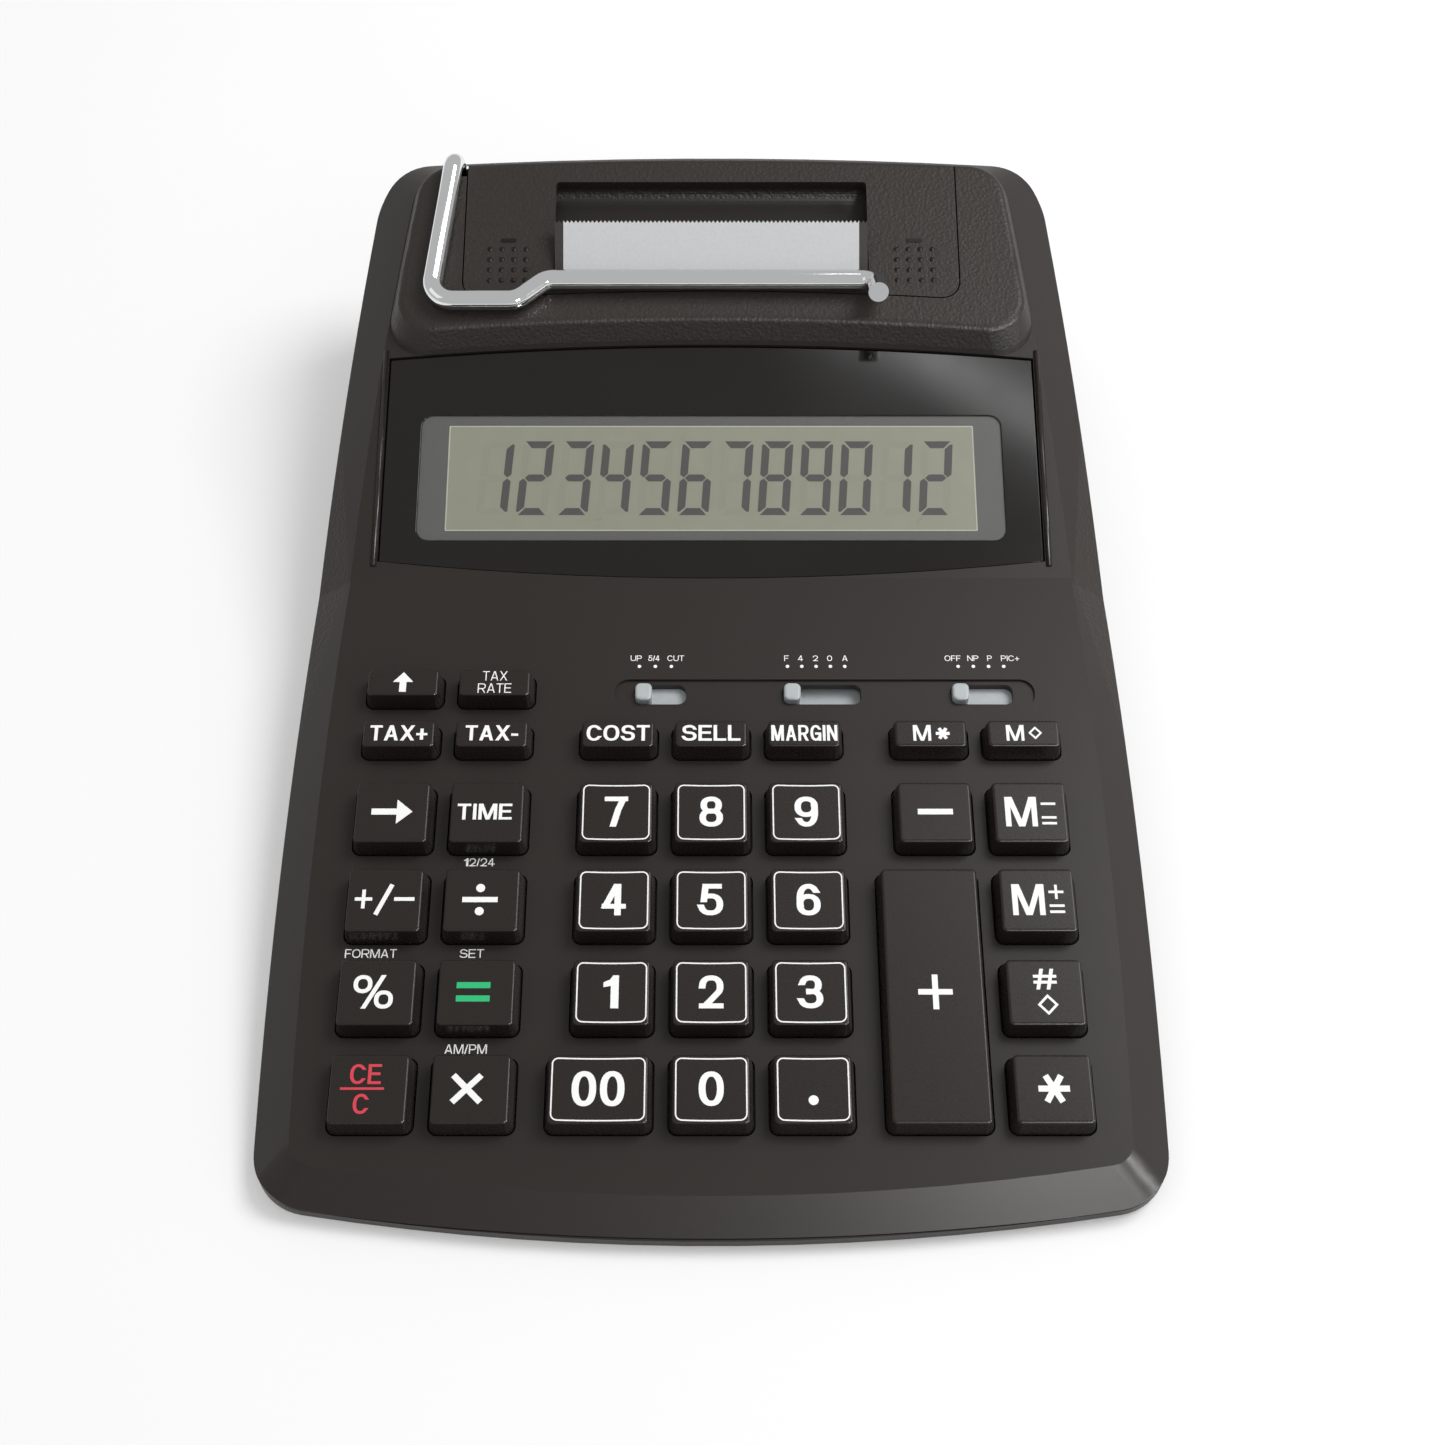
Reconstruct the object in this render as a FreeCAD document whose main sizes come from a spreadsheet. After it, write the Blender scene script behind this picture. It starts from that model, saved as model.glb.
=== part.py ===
import FreeCAD, Part
import math
import os
import Sketcher
from FreeCAD import Placement, Rotation, Vector

# Printing desk calculator, in millimetres: +X to the right, +Y to the rear, +Z up.
# It stands on its feet at Z = 0.

# Driving dimensions, each written once.
SIZES = {
    # case
    "wall": 2.0,                   # shell thickness
    "floor_thick": 1.6,            # bottom pan
    "foot_height": 1.2,            # rubber feet below the pan
    "parting_height": 3.1,         # seam between pan and shell
    "front_bow": 420.0,            # plan radius of the front edge
    "side_bow": 1350.0,            # plan radius of the sides
    "rear_bow": 900.0,             # plan radius of the rear edge
    "widest_from_front": 60.0,     # where the sides are widest
    "front_corner": 10.0,
    "rear_corner": 12.0,
    "fit": 0.25,                   # running clearance between mouldings
    "seat_gap": 0.1,               # gap where one piece rests on another
    # key deck
    "deck_setback": 5.4,           # front bevel, from case front to deck edge
    "side_bevel": 6.4,             # side bevel, from deck edge to case side
    "deck_tilt": 6.0,
    "deck_side_bow": 1070.0,
    "deck_corner": 7.0,
    "bevel_angle": 40.0,
    "deck_margin": 6.8,            # from the outer key column to the deck edge
    # display roof and printer housing
    "display_tilt": 15.2,
    "display_margin": 24.4,        # from the rearmost key row to the foot of the display
    "roof_length": 89.0,           # from the foot of the display to the rear edge of the roof
    "rear_ledge": 6.7,             # roof edge to case rear
    "housing_rise": 5.0,
    "housing_start": 48.9,
    "housing_lean": 31.0,
    "housing_bow": 650.0,
    "housing_end": 87.7,
    "housing_inset": 2.0,
    "housing_draft": 20.0,
    "housing_corner": 8.0,
    "housing_edge": 1.5,
    # keys
    "column_pitch": 16.2,
    "group_gap": 5.8,              # extra space between the number block and the side columns
    "row_pitch": 16.33,
    "first_row": 16.1,             # deck edge to the centre of the front row
    "upper_row_gap": 15.28,        # number rows to the first row of small keys
    "small_row_pitch": 10.24,
    "key_width": 13.65,
    "key_depth": 12.5,
    "small_key_depth": 6.3,
    "wide_key_extra": 3.5,         # how much wider the double zero and the plus key are
    "key_height": 4.0,
    "key_corner": 1.4,
    "key_draft": 9.0,
    "key_edge": 0.5,
    "key_travel": 2.0,
    "flange_lip": 0.85,
    "flange_thick": 1.0,
    "stem_width": 4.0,
    "stem_length": 0.3,
    "board_thick": 1.2,
    "board_start": 11.0,           # deck edge to the front edge of the board
    "mat_thick": 0.5,
    "dome_width": 5.6,
    # slide switches
    "strip_left": -17.2,
    "strip_length": 74.9,
    "strip_width": 5.7,
    "strip_depth": 0.5,
    "slot_width": 4.0,
    "knob_length": 3.0,
    "knob_rise": 1.4,
    "slide_thick": 0.8,
    "slide_margin": 1.0,
    # display
    "lens_width": 123.0,
    "lens_length": 48.5,
    "lens_start": 0.2,
    "lens_bow": 558.0,
    "lens_thick": 1.6,
    "lens_sink": 0.4,
    "lens_shelf": 1.1,
    "lcd_frame_width": 110.0,
    "lcd_frame_length": 26.2,
    "lcd_frame_start": 7.4,
    "lcd_frame_thick": 0.5,
    "lcd_side_rim": 5.3,           # surround beside the liquid crystal
    "lcd_end_rim": 2.1,            # surround before and behind it
    "lcd_border": 2.0,
    "lcd_thick": 1.8,
    # printer cover, tear bar and paper
    "cover_width": 95.2,
    "cover_start": 57.9,
    "cover_thick": 2.0,
    "lid_corner": 3.5,
    "cover_travel": 6.0,
    "ledge_thick": 2.0,
    "ledge_width": 4.0,
    "window_width": 60.6,
    "window_start": 60.5,
    "window_length": 21.8,
    "window_corner": 0.8,
    "tear_bar_height": 11.2,
    "tear_bar_thick": 1.4,
    "tear_bar_slope": 19.8,        # against the roof
    "tear_bar_sink": 1.4,          # foot of the plate below the top of the lid
    "tooth_pitch": 0.8,
    "tooth_depth": 0.5,
    "paper_width": 57.0,
    "paper_thick": 0.25,
    "paper_clear": 0.05,           # between platen and paper
    "paper_slot_height": 6.4,
    # printer mechanism
    "platen_radius": 6.0,
    "platen_along": 62.3,          # along the roof
    "platen_below": 3.15,          # below the roof plane
    "platen_length": 56.0,
    "wheel_radius": 4.8,
    "wheel_angle": 50.0,           # print wheel below and ahead of the platen
    "type_discs": 9,
    "type_disc_gap": 1.27,
    "ink_radius": 4.4,
    "ink_angle": 200.0,            # ink roller ahead of the print wheel
    "nip": 0.35,
    "platen_shaft": 4.0,
    "wheel_shaft": 3.0,
    "shaft_fit": 0.1,              # on the diameter
    "gear_module": 0.5,
    "pinion_teeth": 10,
    "wheel_teeth": 30,
    "wheel_feed_teeth": 20,
    "feed_teeth": 25,
    "gear_width": 1.5,
    "gear_clear": 0.35,            # around a gear's teeth
    "motor_diameter": 16.0,
    "motor_length": 14.5,
    "motor_shaft": 2.0,
    "frame_half_width": 44.0,
    "frame_plate": 1.5,
    # paper arm
    "wire_diameter": 3.8,
    "wire_above": 2.6,             # wire centre above the housing
    "arm_left": 53.5,
    "arm_rear_left": 50.0,
    "arm_corner": 4.0,
    "arm_jog_x": 37.0,
    "arm_jog_run": 5.5,
    "arm_bar_front": 54.2,
    "arm_bar_rear": 58.7,
    "arm_right": 31.4,
    "arm_tip_front": 5.5,          # turned-up end of the wire, ahead of the bar
    "arm_tip_rise": 4.4,           # and above it
    "arm_pivot_ahead": 1.4,        # pivot ahead of the housing's rear edge
    "arm_pivot_above": 0.8,        # above the roof plane
    "arm_axle_length": 8.0,
    "arm_bend": 3.1,               # bend of the wire at its axle
    "notch_gap": 0.8,              # beside the wire, in the notch
    "notch_floor": 1.5,            # below the roof plane
    # power
    "cell_diameter": 14.3,
    "cell_length": 50.0,
    "bay_front": 10.0,             # from the foot of the display
    "bay_wall": 1.0,
    "bay_play": 0.35,
    "door_pin": 1.0,
    "jack_x": 45.0,
    "jack_width": 9.0,
    "jack_depth": 11.0,
    "jack_height": 9.0,
    "jack_barrel": 7.6,
    "jack_bore": 5.6,
    "jack_pin": 2.0,
    "jack_centre": 12.5,
    # feet and screws
    "foot_from_front": 20.0,
    "foot_from_rear": 16.0,
    "foot_diameter": 10.0,
    "foot_seat": 0.5,
    "screw_from_rear": 20.0,
    "screw_shank": 2.6,
    "screw_head": 5.4,
    "screw_head_thick": 1.7,
    "screw_length": 9.0,
    "boss_diameter": 6.4,
    "tongue_thick": 1.2,
    "tongue_height": 2.5,
    "post_diameter": 5.0,
}

# Sizes that follow from the driving ones.
size = dict(SIZES)
COS_DECK = math.cos(math.radians(size["deck_tilt"]))
SIN_DECK = math.sin(math.radians(size["deck_tilt"]))
COS_ROOF = math.cos(math.radians(size["display_tilt"]))
size["flush"] = 0.0
size["bevel_inset"] = size["wall"] * math.tan(math.radians(size["bevel_angle"] / 2))
size["side_column"] = 2 * size["column_pitch"] + size["group_gap"]
size["outer_column"] = size["side_column"] + size["column_pitch"]
size["deck_width"] = 2 * size["outer_column"] + size["key_width"] + 2 * size["deck_margin"]
size["case_width"] = size["deck_width"] + 2 * size["side_bevel"]
size["row_c"] = size["first_row"] + 3 * size["row_pitch"]
size["row_b"] = size["row_c"] + size["upper_row_gap"]
size["row_a"] = size["row_b"] + size["small_row_pitch"]
size["display_start"] = size["row_a"] + size["display_margin"]
size["case_length"] = (
    size["deck_setback"] + size["display_start"] * COS_DECK
    + size["roof_length"] * COS_ROOF + size["rear_ledge"]
)
size["board_depth"] = (
    size["wall"] + size["seat_gap"] + size["flange_thick"] + size["key_travel"] + size["mat_thick"]
)
size["floor_top"] = size["foot_height"] + size["floor_thick"]
size["deck_front_height"] = (
    size["floor_top"] + size["seat_gap"] + (size["board_depth"] + size["board_thick"]) * COS_DECK
    - size["board_start"] * SIN_DECK
)
size["double_key_depth"] = size["key_depth"] + 2 * size["row_pitch"]
size["wide_key_width"] = size["key_width"] + size["wide_key_extra"]
size["tongue_outer"] = size["wall"] + size["fit"]
size["tongue_inner"] = size["tongue_outer"] + size["tongue_thick"]
size["lens_floor"] = size["lens_sink"] + size["lens_thick"] + size["seat_gap"]
size["tray_thick"] = size["lens_floor"] + size["lens_shelf"]
size["cover_floor"] = size["housing_rise"] - size["cover_thick"] - size["seat_gap"]
size["housing_ceiling"] = size["cover_floor"] - size["ledge_thick"]
size["lcd_width"] = size["lcd_frame_width"] - 2 * size["lcd_side_rim"]
size["lcd_length"] = size["lcd_frame_length"] - 2 * size["lcd_end_rim"]
size["paper_radius"] = size["platen_radius"] + size["paper_clear"]
size["shaft_reach"] = size["frame_half_width"] + size["frame_plate"] + size["seat_gap"]
size["near_gear"] = size["shaft_reach"] + 2 * size["fit"]
size["far_gear"] = size["near_gear"] + size["gear_width"] + 2 * size["fit"]
size["gear_end"] = size["far_gear"] + size["gear_width"]
size["plate_bottom"] = size["floor_top"] + size["seat_gap"]

doc = FreeCAD.newDocument("printing_desk_calculator")
sheet = doc.addObject("Spreadsheet::Sheet", "dims")
for row, (alias, value) in enumerate(size.items(), 1):
    sheet.set(f"A{row}", alias)
    sheet.set(f"B{row}", repr(value))
    sheet.setAlias(f"B{row}", alias)
doc.recompute()

FRONT = -size["case_length"] / 2
REAR = size["case_length"] / 2
WIDEST = FRONT + size["widest_from_front"]
TABLE = Placement()
DECK = Placement(
    Vector(0, FRONT + size["deck_setback"], size["deck_front_height"]),
    Rotation(Vector(1, 0, 0), size["deck_tilt"]),
)
ROOF = Placement(
    DECK.multVec(Vector(0, size["display_start"], 0)), Rotation(Vector(1, 0, 0), size["display_tilt"])
)
ALONG_X = Rotation(Vector(0, 1, 0), 90)
ALONG_REAR = Rotation(Vector(1, 0, 0), -90)


def place(piece, frame, x, y, z, turn=None):
    """Puts a piece at a point of a frame."""
    piece.Placement = frame.multiply(Placement(Vector(x, y, z), turn or Rotation()))
    return piece


def new(kind, name, expressions):
    """Adds a primitive whose sizes are bound to the sheet."""
    piece = doc.addObject(kind, name)
    for prop, expression in expressions.items():
        piece.setExpression(prop, expression)
    return piece


def box(name, frame, corner, lengths):
    """Box with one corner at a point of a frame and bound edge lengths."""
    return place(new("Part::Box", name, dict(zip(("Length", "Width", "Height"), lengths))), frame, *corner)


def rod(name, frame, start, diameter, length, turn=None):
    """Cylinder from a point of a frame, with a bound diameter and length."""
    piece = new("Part::Cylinder", name, {"Radius": f"({diameter}) / 2", "Height": length})
    return place(piece, frame, *start, turn)


def join(name, pieces):
    fused = doc.addObject("Part::MultiFuse", name)
    fused.Shapes = pieces
    fused.Refine = True
    return fused


def overlap(name, pieces):
    common = doc.addObject("Part::MultiCommon", name)
    common.Shapes = pieces
    return common


def cut(name, base, tools):
    """Takes the tools away from the base."""
    taken = doc.addObject("Part::Cut", name)
    taken.Base = base
    taken.Tool = tools[0] if len(tools) == 1 else join(name + "_tools", tools)
    return taken


def round_upright(name, base, frame, radius_at):
    """Rounds the edges that run from one level of a frame to another."""
    doc.recompute()
    to_frame = frame.inverse()
    picked = []
    for number, edge in enumerate(base.Shape.Edges, 1):
        levels = [to_frame.multVec(vertex.Point).z for vertex in edge.Vertexes]
        if max(levels) - min(levels) > size["seat_gap"]:
            radius = radius_at(to_frame.multVec(edge.CenterOfMass))
            picked.append((number, radius, radius))
    rounded = doc.addObject("Part::Fillet", name)
    rounded.Base = base
    rounded.Edges = picked
    return rounded


def round_rim(name, base, frame, radius):
    """Rounds the edges round the top face of a piece."""
    doc.recompute()
    to_frame = frame.inverse()
    levels = [[to_frame.multVec(vertex.Point).z for vertex in edge.Vertexes] for edge in base.Shape.Edges]
    highest = max(max(level) for level in levels)
    rounded = doc.addObject("Part::Fillet", name)
    rounded.Base = base
    rounded.Edges = [
        (number, radius, radius) for number, level in enumerate(levels, 1)
        if min(level) > highest - size["seat_gap"]
    ]
    return rounded


def flared_block(name, frame, walls, top, height):
    """Block whose bowed walls lean outward below its top: each wall is part of a cone."""
    cones = []
    for index, (x, y, radius, lean, turn) in enumerate(walls):
        run = f"({height}) * tan({lean})"
        sizes = {"Radius1": f"{radius} + {run}", "Radius2": radius, "Height": height}
        cone = new("Part::Cone", f"{name}_wall_{index}", sizes)
        doc.recompute()
        place(cone, frame, x, y, top - cone.Height.Value, Rotation(Vector(0, 0, 1), turn))
        cones.append(cone)
    return overlap(name, cones)


def case_prism(name, inset, bottom, height):
    """Plan outline of the case, moved in by an inset, as an upright prism."""
    half = size["case_width"] / 2
    walls = [
        (0, FRONT + size["front_bow"], f"dims.front_bow - dims.{inset}", 0),
        (0, REAR - size["rear_bow"], f"dims.rear_bow - dims.{inset}", 0),
        (half - size["side_bow"], WIDEST, f"dims.side_bow - dims.{inset}", 180),
        (size["side_bow"] - half, WIDEST, f"dims.side_bow - dims.{inset}", 0),
    ]
    cylinders = []
    for index, (x, y, radius, turn) in enumerate(walls):
        wall = new("Part::Cylinder", f"{name}_wall_{index}", {"Radius": radius, "Height": height})
        place(wall, TABLE, x, y, bottom, Rotation(Vector(0, 0, 1), turn))
        cylinders.append(wall)
    block = overlap(name + "_block", cylinders)
    front, rear = size["front_corner"] - size[inset], size["rear_corner"] - size[inset]
    return round_upright(name, block, TABLE, lambda point: front if point.y < 0 else rear)


def side_walls(frame, inset, lean):
    """The two long bevels beside the deck and the roof, as cones in a tilted frame."""
    half = size["deck_width"] / 2
    widest = frame.inverse().multVec(Vector(0, WIDEST, frame.Base.z)).y
    radius = f"dims.deck_side_bow - dims.{inset}"
    reach = half - size["deck_side_bow"]
    return [(reach, widest, radius, lean, 180), (-reach, widest, radius, lean, 0)]


def case_form(name, outline_inset, bevel_inset, drop):
    """Deck and display roof with their bevels, inside the plan outline."""
    lean = "90 - dims.bevel_angle"
    deck_front = size["front_bow"] - size["deck_setback"]
    front_radius = f"dims.front_bow - dims.deck_setback - dims.{bevel_inset}"
    deck = flared_block(
        name + "_deck_block", DECK,
        [(0, deck_front, front_radius, lean, 0)] + side_walls(DECK, bevel_inset, lean),
        -size[drop], "dims.deck_front_height * 4",
    )
    corner = size["deck_corner"]
    deck = round_upright(name + "_deck", deck, DECK, lambda point: corner)
    rear = size["roof_length"] - size["rear_bow"]
    roof = flared_block(
        name + "_roof_block", ROOF,
        [(0, rear, f"dims.rear_bow - dims.{bevel_inset}", lean, 0)] + side_walls(ROOF, bevel_inset, lean),
        -size[drop], "dims.roof_length",
    )
    roof = round_upright(name + "_roof", roof, ROOF, lambda point: size["rear_corner"])
    seam = size["parting_height"] + size["fit"]
    outline = case_prism(name + "_outline", outline_inset, seam, "dims.roof_length")
    return overlap(name, [outline, join(name + "_top", [deck, roof])])


def housing_form(name):
    """Raised printer housing on the roof, with leaning walls and a hollow front."""
    height = "dims.housing_rise + dims.tray_thick"
    sides = []
    for x, y, radius, _, turn in side_walls(ROOF, "flush", 0):
        sides.append((x, y, f"{radius} - dims.housing_inset", "dims.housing_draft", turn))
    rear = size["housing_end"] - size["rear_bow"]
    sides.append((0, rear, "dims.rear_bow", "dims.housing_draft", 0))
    block = flared_block(name + "_block", ROOF, sides, size["housing_rise"], height)
    lean = f"({height}) * tan(dims.housing_lean)"
    front = new("Part::Cone", name + "_front", {
        "Radius1": "dims.housing_bow - dims.tray_thick * tan(dims.housing_lean)",
        "Radius2": f"dims.housing_bow - dims.tray_thick * tan(dims.housing_lean) + {lean}",
        "Height": height,
    })
    place(front, ROOF, 0, size["housing_start"] - size["housing_bow"], -size["tray_thick"])
    open_front = cut(name + "_open", block, [front])
    cornered = round_upright(name + "_cornered", open_front, ROOF, lambda point: size["housing_corner"])
    return round_rim(name, cornered, ROOF, size["housing_edge"])


def lens_form(name, grow, bottom, thick):
    """Display panel outline: straight sides, bowed front and rear edges."""
    width = f"dims.lens_width + 2 * dims.{grow}"
    half = size["lens_width"] / 2 + size[grow]
    middle = box(name + "_width", ROOF, (-half, -size["wall"], bottom), (width, "dims.roof_length", thick))
    front = rod(
        name + "_front", ROOF, (0, size["lens_start"] + size["lens_bow"], bottom),
        f"2 * (dims.lens_bow + dims.{grow})", thick,
    )
    rear = rod(
        name + "_rear", ROOF, (0, size["lens_start"] + size["lens_length"] - size["housing_bow"], bottom),
        f"2 * (dims.housing_bow + dims.{grow})", thick,
    )
    return overlap(name, [middle, front, rear])


def lid_form(name, grow, bottom, thick):
    """Printer lid outline: straight sides, a front edge bowed like the housing's, round front corners."""
    half = size["cover_width"] / 2 + size[grow]
    front = size["housing_start"] - size["wall"]
    blank = box(name + "_blank", ROOF, (-half, front, bottom),
                (f"dims.cover_width + 2 * dims.{grow}", "dims.roof_length", thick))
    bow = rod(
        name + "_bow", ROOF, (0, size["housing_start"] - size["housing_bow"], bottom),
        f"2 * (dims.housing_bow + dims.cover_start - dims.housing_start - dims.{grow})", thick,
    )
    corner = size["lid_corner"] + size[grow]
    return round_upright(name, cut(name + "_bowed", blank, [bow]), ROOF, lambda point: corner)


def rounded_box(name, frame, centre, width, depth, bottom, height, radius):
    """Upright box about a centre, with rounded corners."""
    block = box(name + "_block", frame, (0, 0, 0), (width, depth, height))
    doc.recompute()
    place(block, frame, centre[0] - block.Length.Value / 2, centre[1] - block.Width.Value / 2, bottom)
    return round_upright(name, block, frame, lambda point: radius)


# Keys: name, column, row, width and depth. Columns and rows are places on the deck.
COLUMNS = {
    "far_left": -size["outer_column"],
    "left": -size["side_column"],
    "one": -size["column_pitch"],
    "two": 0.0,
    "three": size["column_pitch"],
    "right": size["side_column"],
    "far_right": size["outer_column"],
    "wide_one": -size["column_pitch"] - size["wide_key_extra"] / 2,
    "wide_right": size["side_column"] - size["wide_key_extra"] / 2,
}
ROWS = {
    "a": size["row_a"],
    "b": size["row_b"],
    "c": size["row_c"],
    "d": size["row_c"] - size["row_pitch"],
    "e": size["row_c"] - 2 * size["row_pitch"],
    "f": size["first_row"],
}
KEY_ROWS = {
    "a": [("up", "far_left"), ("tax_rate", "left")],
    "b": [("tax_plus", "far_left"), ("tax_minus", "left"), ("cost", "one"), ("sell", "two"),
          ("margin", "three"), ("memory_total", "right"), ("memory_subtotal", "far_right")],
    "c": [("backspace", "far_left"), ("time", "left"), ("7", "one"), ("8", "two"), ("9", "three"),
          ("minus", "right"), ("memory_minus", "far_right")],
    "d": [("sign", "far_left"), ("divide", "left"), ("4", "one"), ("5", "two"), ("6", "three"),
          ("memory_plus", "far_right")],
    "e": [("percent", "far_left"), ("equals", "left"), ("1", "one"), ("2", "two"), ("3", "three"),
          ("plus", "wide_right"), ("item_count", "far_right")],
    "f": [("clear", "far_left"), ("multiply", "left"), ("double_zero", "wide_one"), ("0", "two"),
          ("point", "three"), ("total", "far_right")],
}


def key_list():
    """Every key with its place on the deck and the cells for its width and depth."""
    keys = []
    for row, places in KEY_ROWS.items():
        for name, column in places:
            width = "wide_key_width" if column.startswith("wide") else "key_width"
            depth = "small_key_depth" if row in "ab" else "key_depth"
            if name == "plus":
                depth = "double_key_depth"
            keys.append((f"key_{name}", COLUMNS[column], ROWS[row], width, depth))
    return keys


def plane(body, role):
    return [feature for feature in body.Origin.OriginFeatures if feature.Role == role][0]


def rounded_sketch(body, name, width, depth, radius, height):
    """Rounded rectangle about the body's axis, at a height above its XY plane."""
    sketch = body.newObject("Sketcher::SketchObject", name)
    sketch.AttachmentSupport = [(plane(body, "XY_Plane"), "")]
    sketch.MapMode = "FlatFace"
    sketch.setExpression("AttachmentOffset.Base.z", height)
    half_w, half_d, r = 6.0, 5.0, 1.0
    up = Vector(0, 0, 1)
    corners = [(half_w, -half_d, -90), (half_w, half_d, 0), (-half_w, half_d, 90), (-half_w, -half_d, 180)]
    ends = [
        (Vector(-half_w + r, -half_d), Vector(half_w - r, -half_d)),
        (Vector(half_w, -half_d + r), Vector(half_w, half_d - r)),
        (Vector(half_w - r, half_d), Vector(-half_w + r, half_d)),
        (Vector(-half_w, half_d - r), Vector(-half_w, -half_d + r)),
    ]
    for (start, end), (x, y, angle) in zip(ends, corners):
        sketch.addGeometry(Part.LineSegment(start, end))
        centre = Vector(x - math.copysign(r, x), y - math.copysign(r, y))
        first = math.radians(angle)
        sketch.addGeometry(Part.ArcOfCircle(Part.Circle(centre, up, r), first, first + math.pi / 2))
    for index in range(8):
        sketch.addConstraint(Sketcher.Constraint("Tangent", index, 2, (index + 1) % 8, 1))
    for line, direction in ((0, "Horizontal"), (2, "Vertical"), (4, "Horizontal"), (6, "Vertical")):
        sketch.addConstraint(Sketcher.Constraint(direction, line))
    for arc in (3, 5, 7):
        sketch.addConstraint(Sketcher.Constraint("Equal", 1, arc))
    sketch.addConstraint(Sketcher.Constraint("Symmetric", 1, 3, 5, 3, -1, 1))
    for constraint, value in (
        (Sketcher.Constraint("DistanceX", 6, 1, 2, 1, 2 * half_w), width),
        (Sketcher.Constraint("DistanceY", 0, 1, 4, 1, 2 * half_d), depth),
        (Sketcher.Constraint("Radius", 1, r), radius),
    ):
        sketch.setExpression(f"Constraints[{sketch.addConstraint(constraint)}]", value)
    return sketch


def pad(body, name, sketch, length, draft=None):
    feature = body.newObject("PartDesign::Pad", name)
    feature.Profile = sketch
    feature.setExpression("Length", length)
    if draft:
        feature.setExpression("TaperAngle", draft)
    return feature


def make_key(name, x, y, width, depth):
    """Key cap with drafted sides, a flange that stops it under the deck, and a stem."""
    body = doc.addObject("PartDesign::Body", name)
    under_deck = "-dims.wall - dims.seat_gap"
    corner = "dims.key_corner"
    flange = rounded_sketch(
        body, name + "_flange_outline",
        f"dims.{width} + 2 * dims.flange_lip", f"dims.{depth} + 2 * dims.flange_lip",
        corner, f"{under_deck} - dims.flange_thick",
    )
    pad(body, name + "_flange", flange, "dims.flange_thick")
    neck = rounded_sketch(body, name + "_neck_outline", f"dims.{width}", f"dims.{depth}", corner, under_deck)
    pad(body, name + "_neck", neck, "dims.wall + dims.seat_gap")
    cap = rounded_sketch(body, name + "_cap_outline", f"dims.{width}", f"dims.{depth}", corner, "0")
    top = pad(body, name + "_cap", cap, "dims.key_height", "-dims.key_draft")
    stem_height = f"{under_deck} - dims.flange_thick - dims.stem_length"
    stem = rounded_sketch(
        body, name + "_stem_outline", "dims.stem_width", "dims.stem_width", corner, stem_height,
    )
    top = pad(body, name + "_stem", stem, "dims.stem_length")
    doc.recompute()
    level = top.Shape.BoundBox.ZMax
    rim = [
        f"Edge{number}" for number, edge in enumerate(top.Shape.Edges, 1)
        if edge.BoundBox.ZMin > level - size["seat_gap"]
    ]
    soft = body.newObject("PartDesign::Fillet", name + "_edge")
    soft.Base = (top, rim)
    soft.setExpression("Radius", "dims.key_edge")
    body.Tip = soft
    return place(body, DECK, x, y, 0)


def make_upper_case():
    """Top shell: outer form less an inner form, then every opening."""
    outer = join("shell_outer", [
        case_form("shell_outside", "flush", "flush", "flush"),
        housing_form("housing_outside"),
    ])
    inner = case_form("shell_inside", "wall", "bevel_inset", "wall")
    tray_half = size["lens_width"] / 2 + size["wall"]
    tray = box(
        "display_tray", ROOF, (-tray_half, -size["wall"], -size["tray_thick"]),
        ("dims.lens_width + 2 * dims.wall", "dims.housing_start + 2 * dims.wall", "2 * dims.tray_thick"),
    )
    roofed = cut("shell_roofed", outer, [cut("shell_hollow", inner, [tray])])
    room_half = size["gear_end"] + size["fit"]
    room = box(
        "housing_room", ROOF, (-room_half, size["housing_start"] + 3 * size["wall"], -size["tray_thick"]),
        ("2 * dims.gear_end + 2 * dims.fit",
         "dims.housing_end - dims.ledge_width - dims.housing_start - 3 * dims.wall",
         "dims.housing_ceiling + dims.tray_thick"),
    )
    shell = cut("shell", roofed, [room])
    bosses = []
    for index, (x, y) in enumerate(SCREWS):
        bottom = screw_seat() + size["floor_thick"] + size["seat_gap"]
        bosses.append(rod(
            f"shell_boss_{index}", TABLE, (x, y, bottom), "dims.boss_diameter", "dims.roof_length"
        ))
    bosses = overlap("shell_bosses", [outer, join("shell_boss_rods", bosses)])
    body = join("shell_with_bosses", [shell, bosses])
    return cut("upper_case", body, shell_openings())


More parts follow.
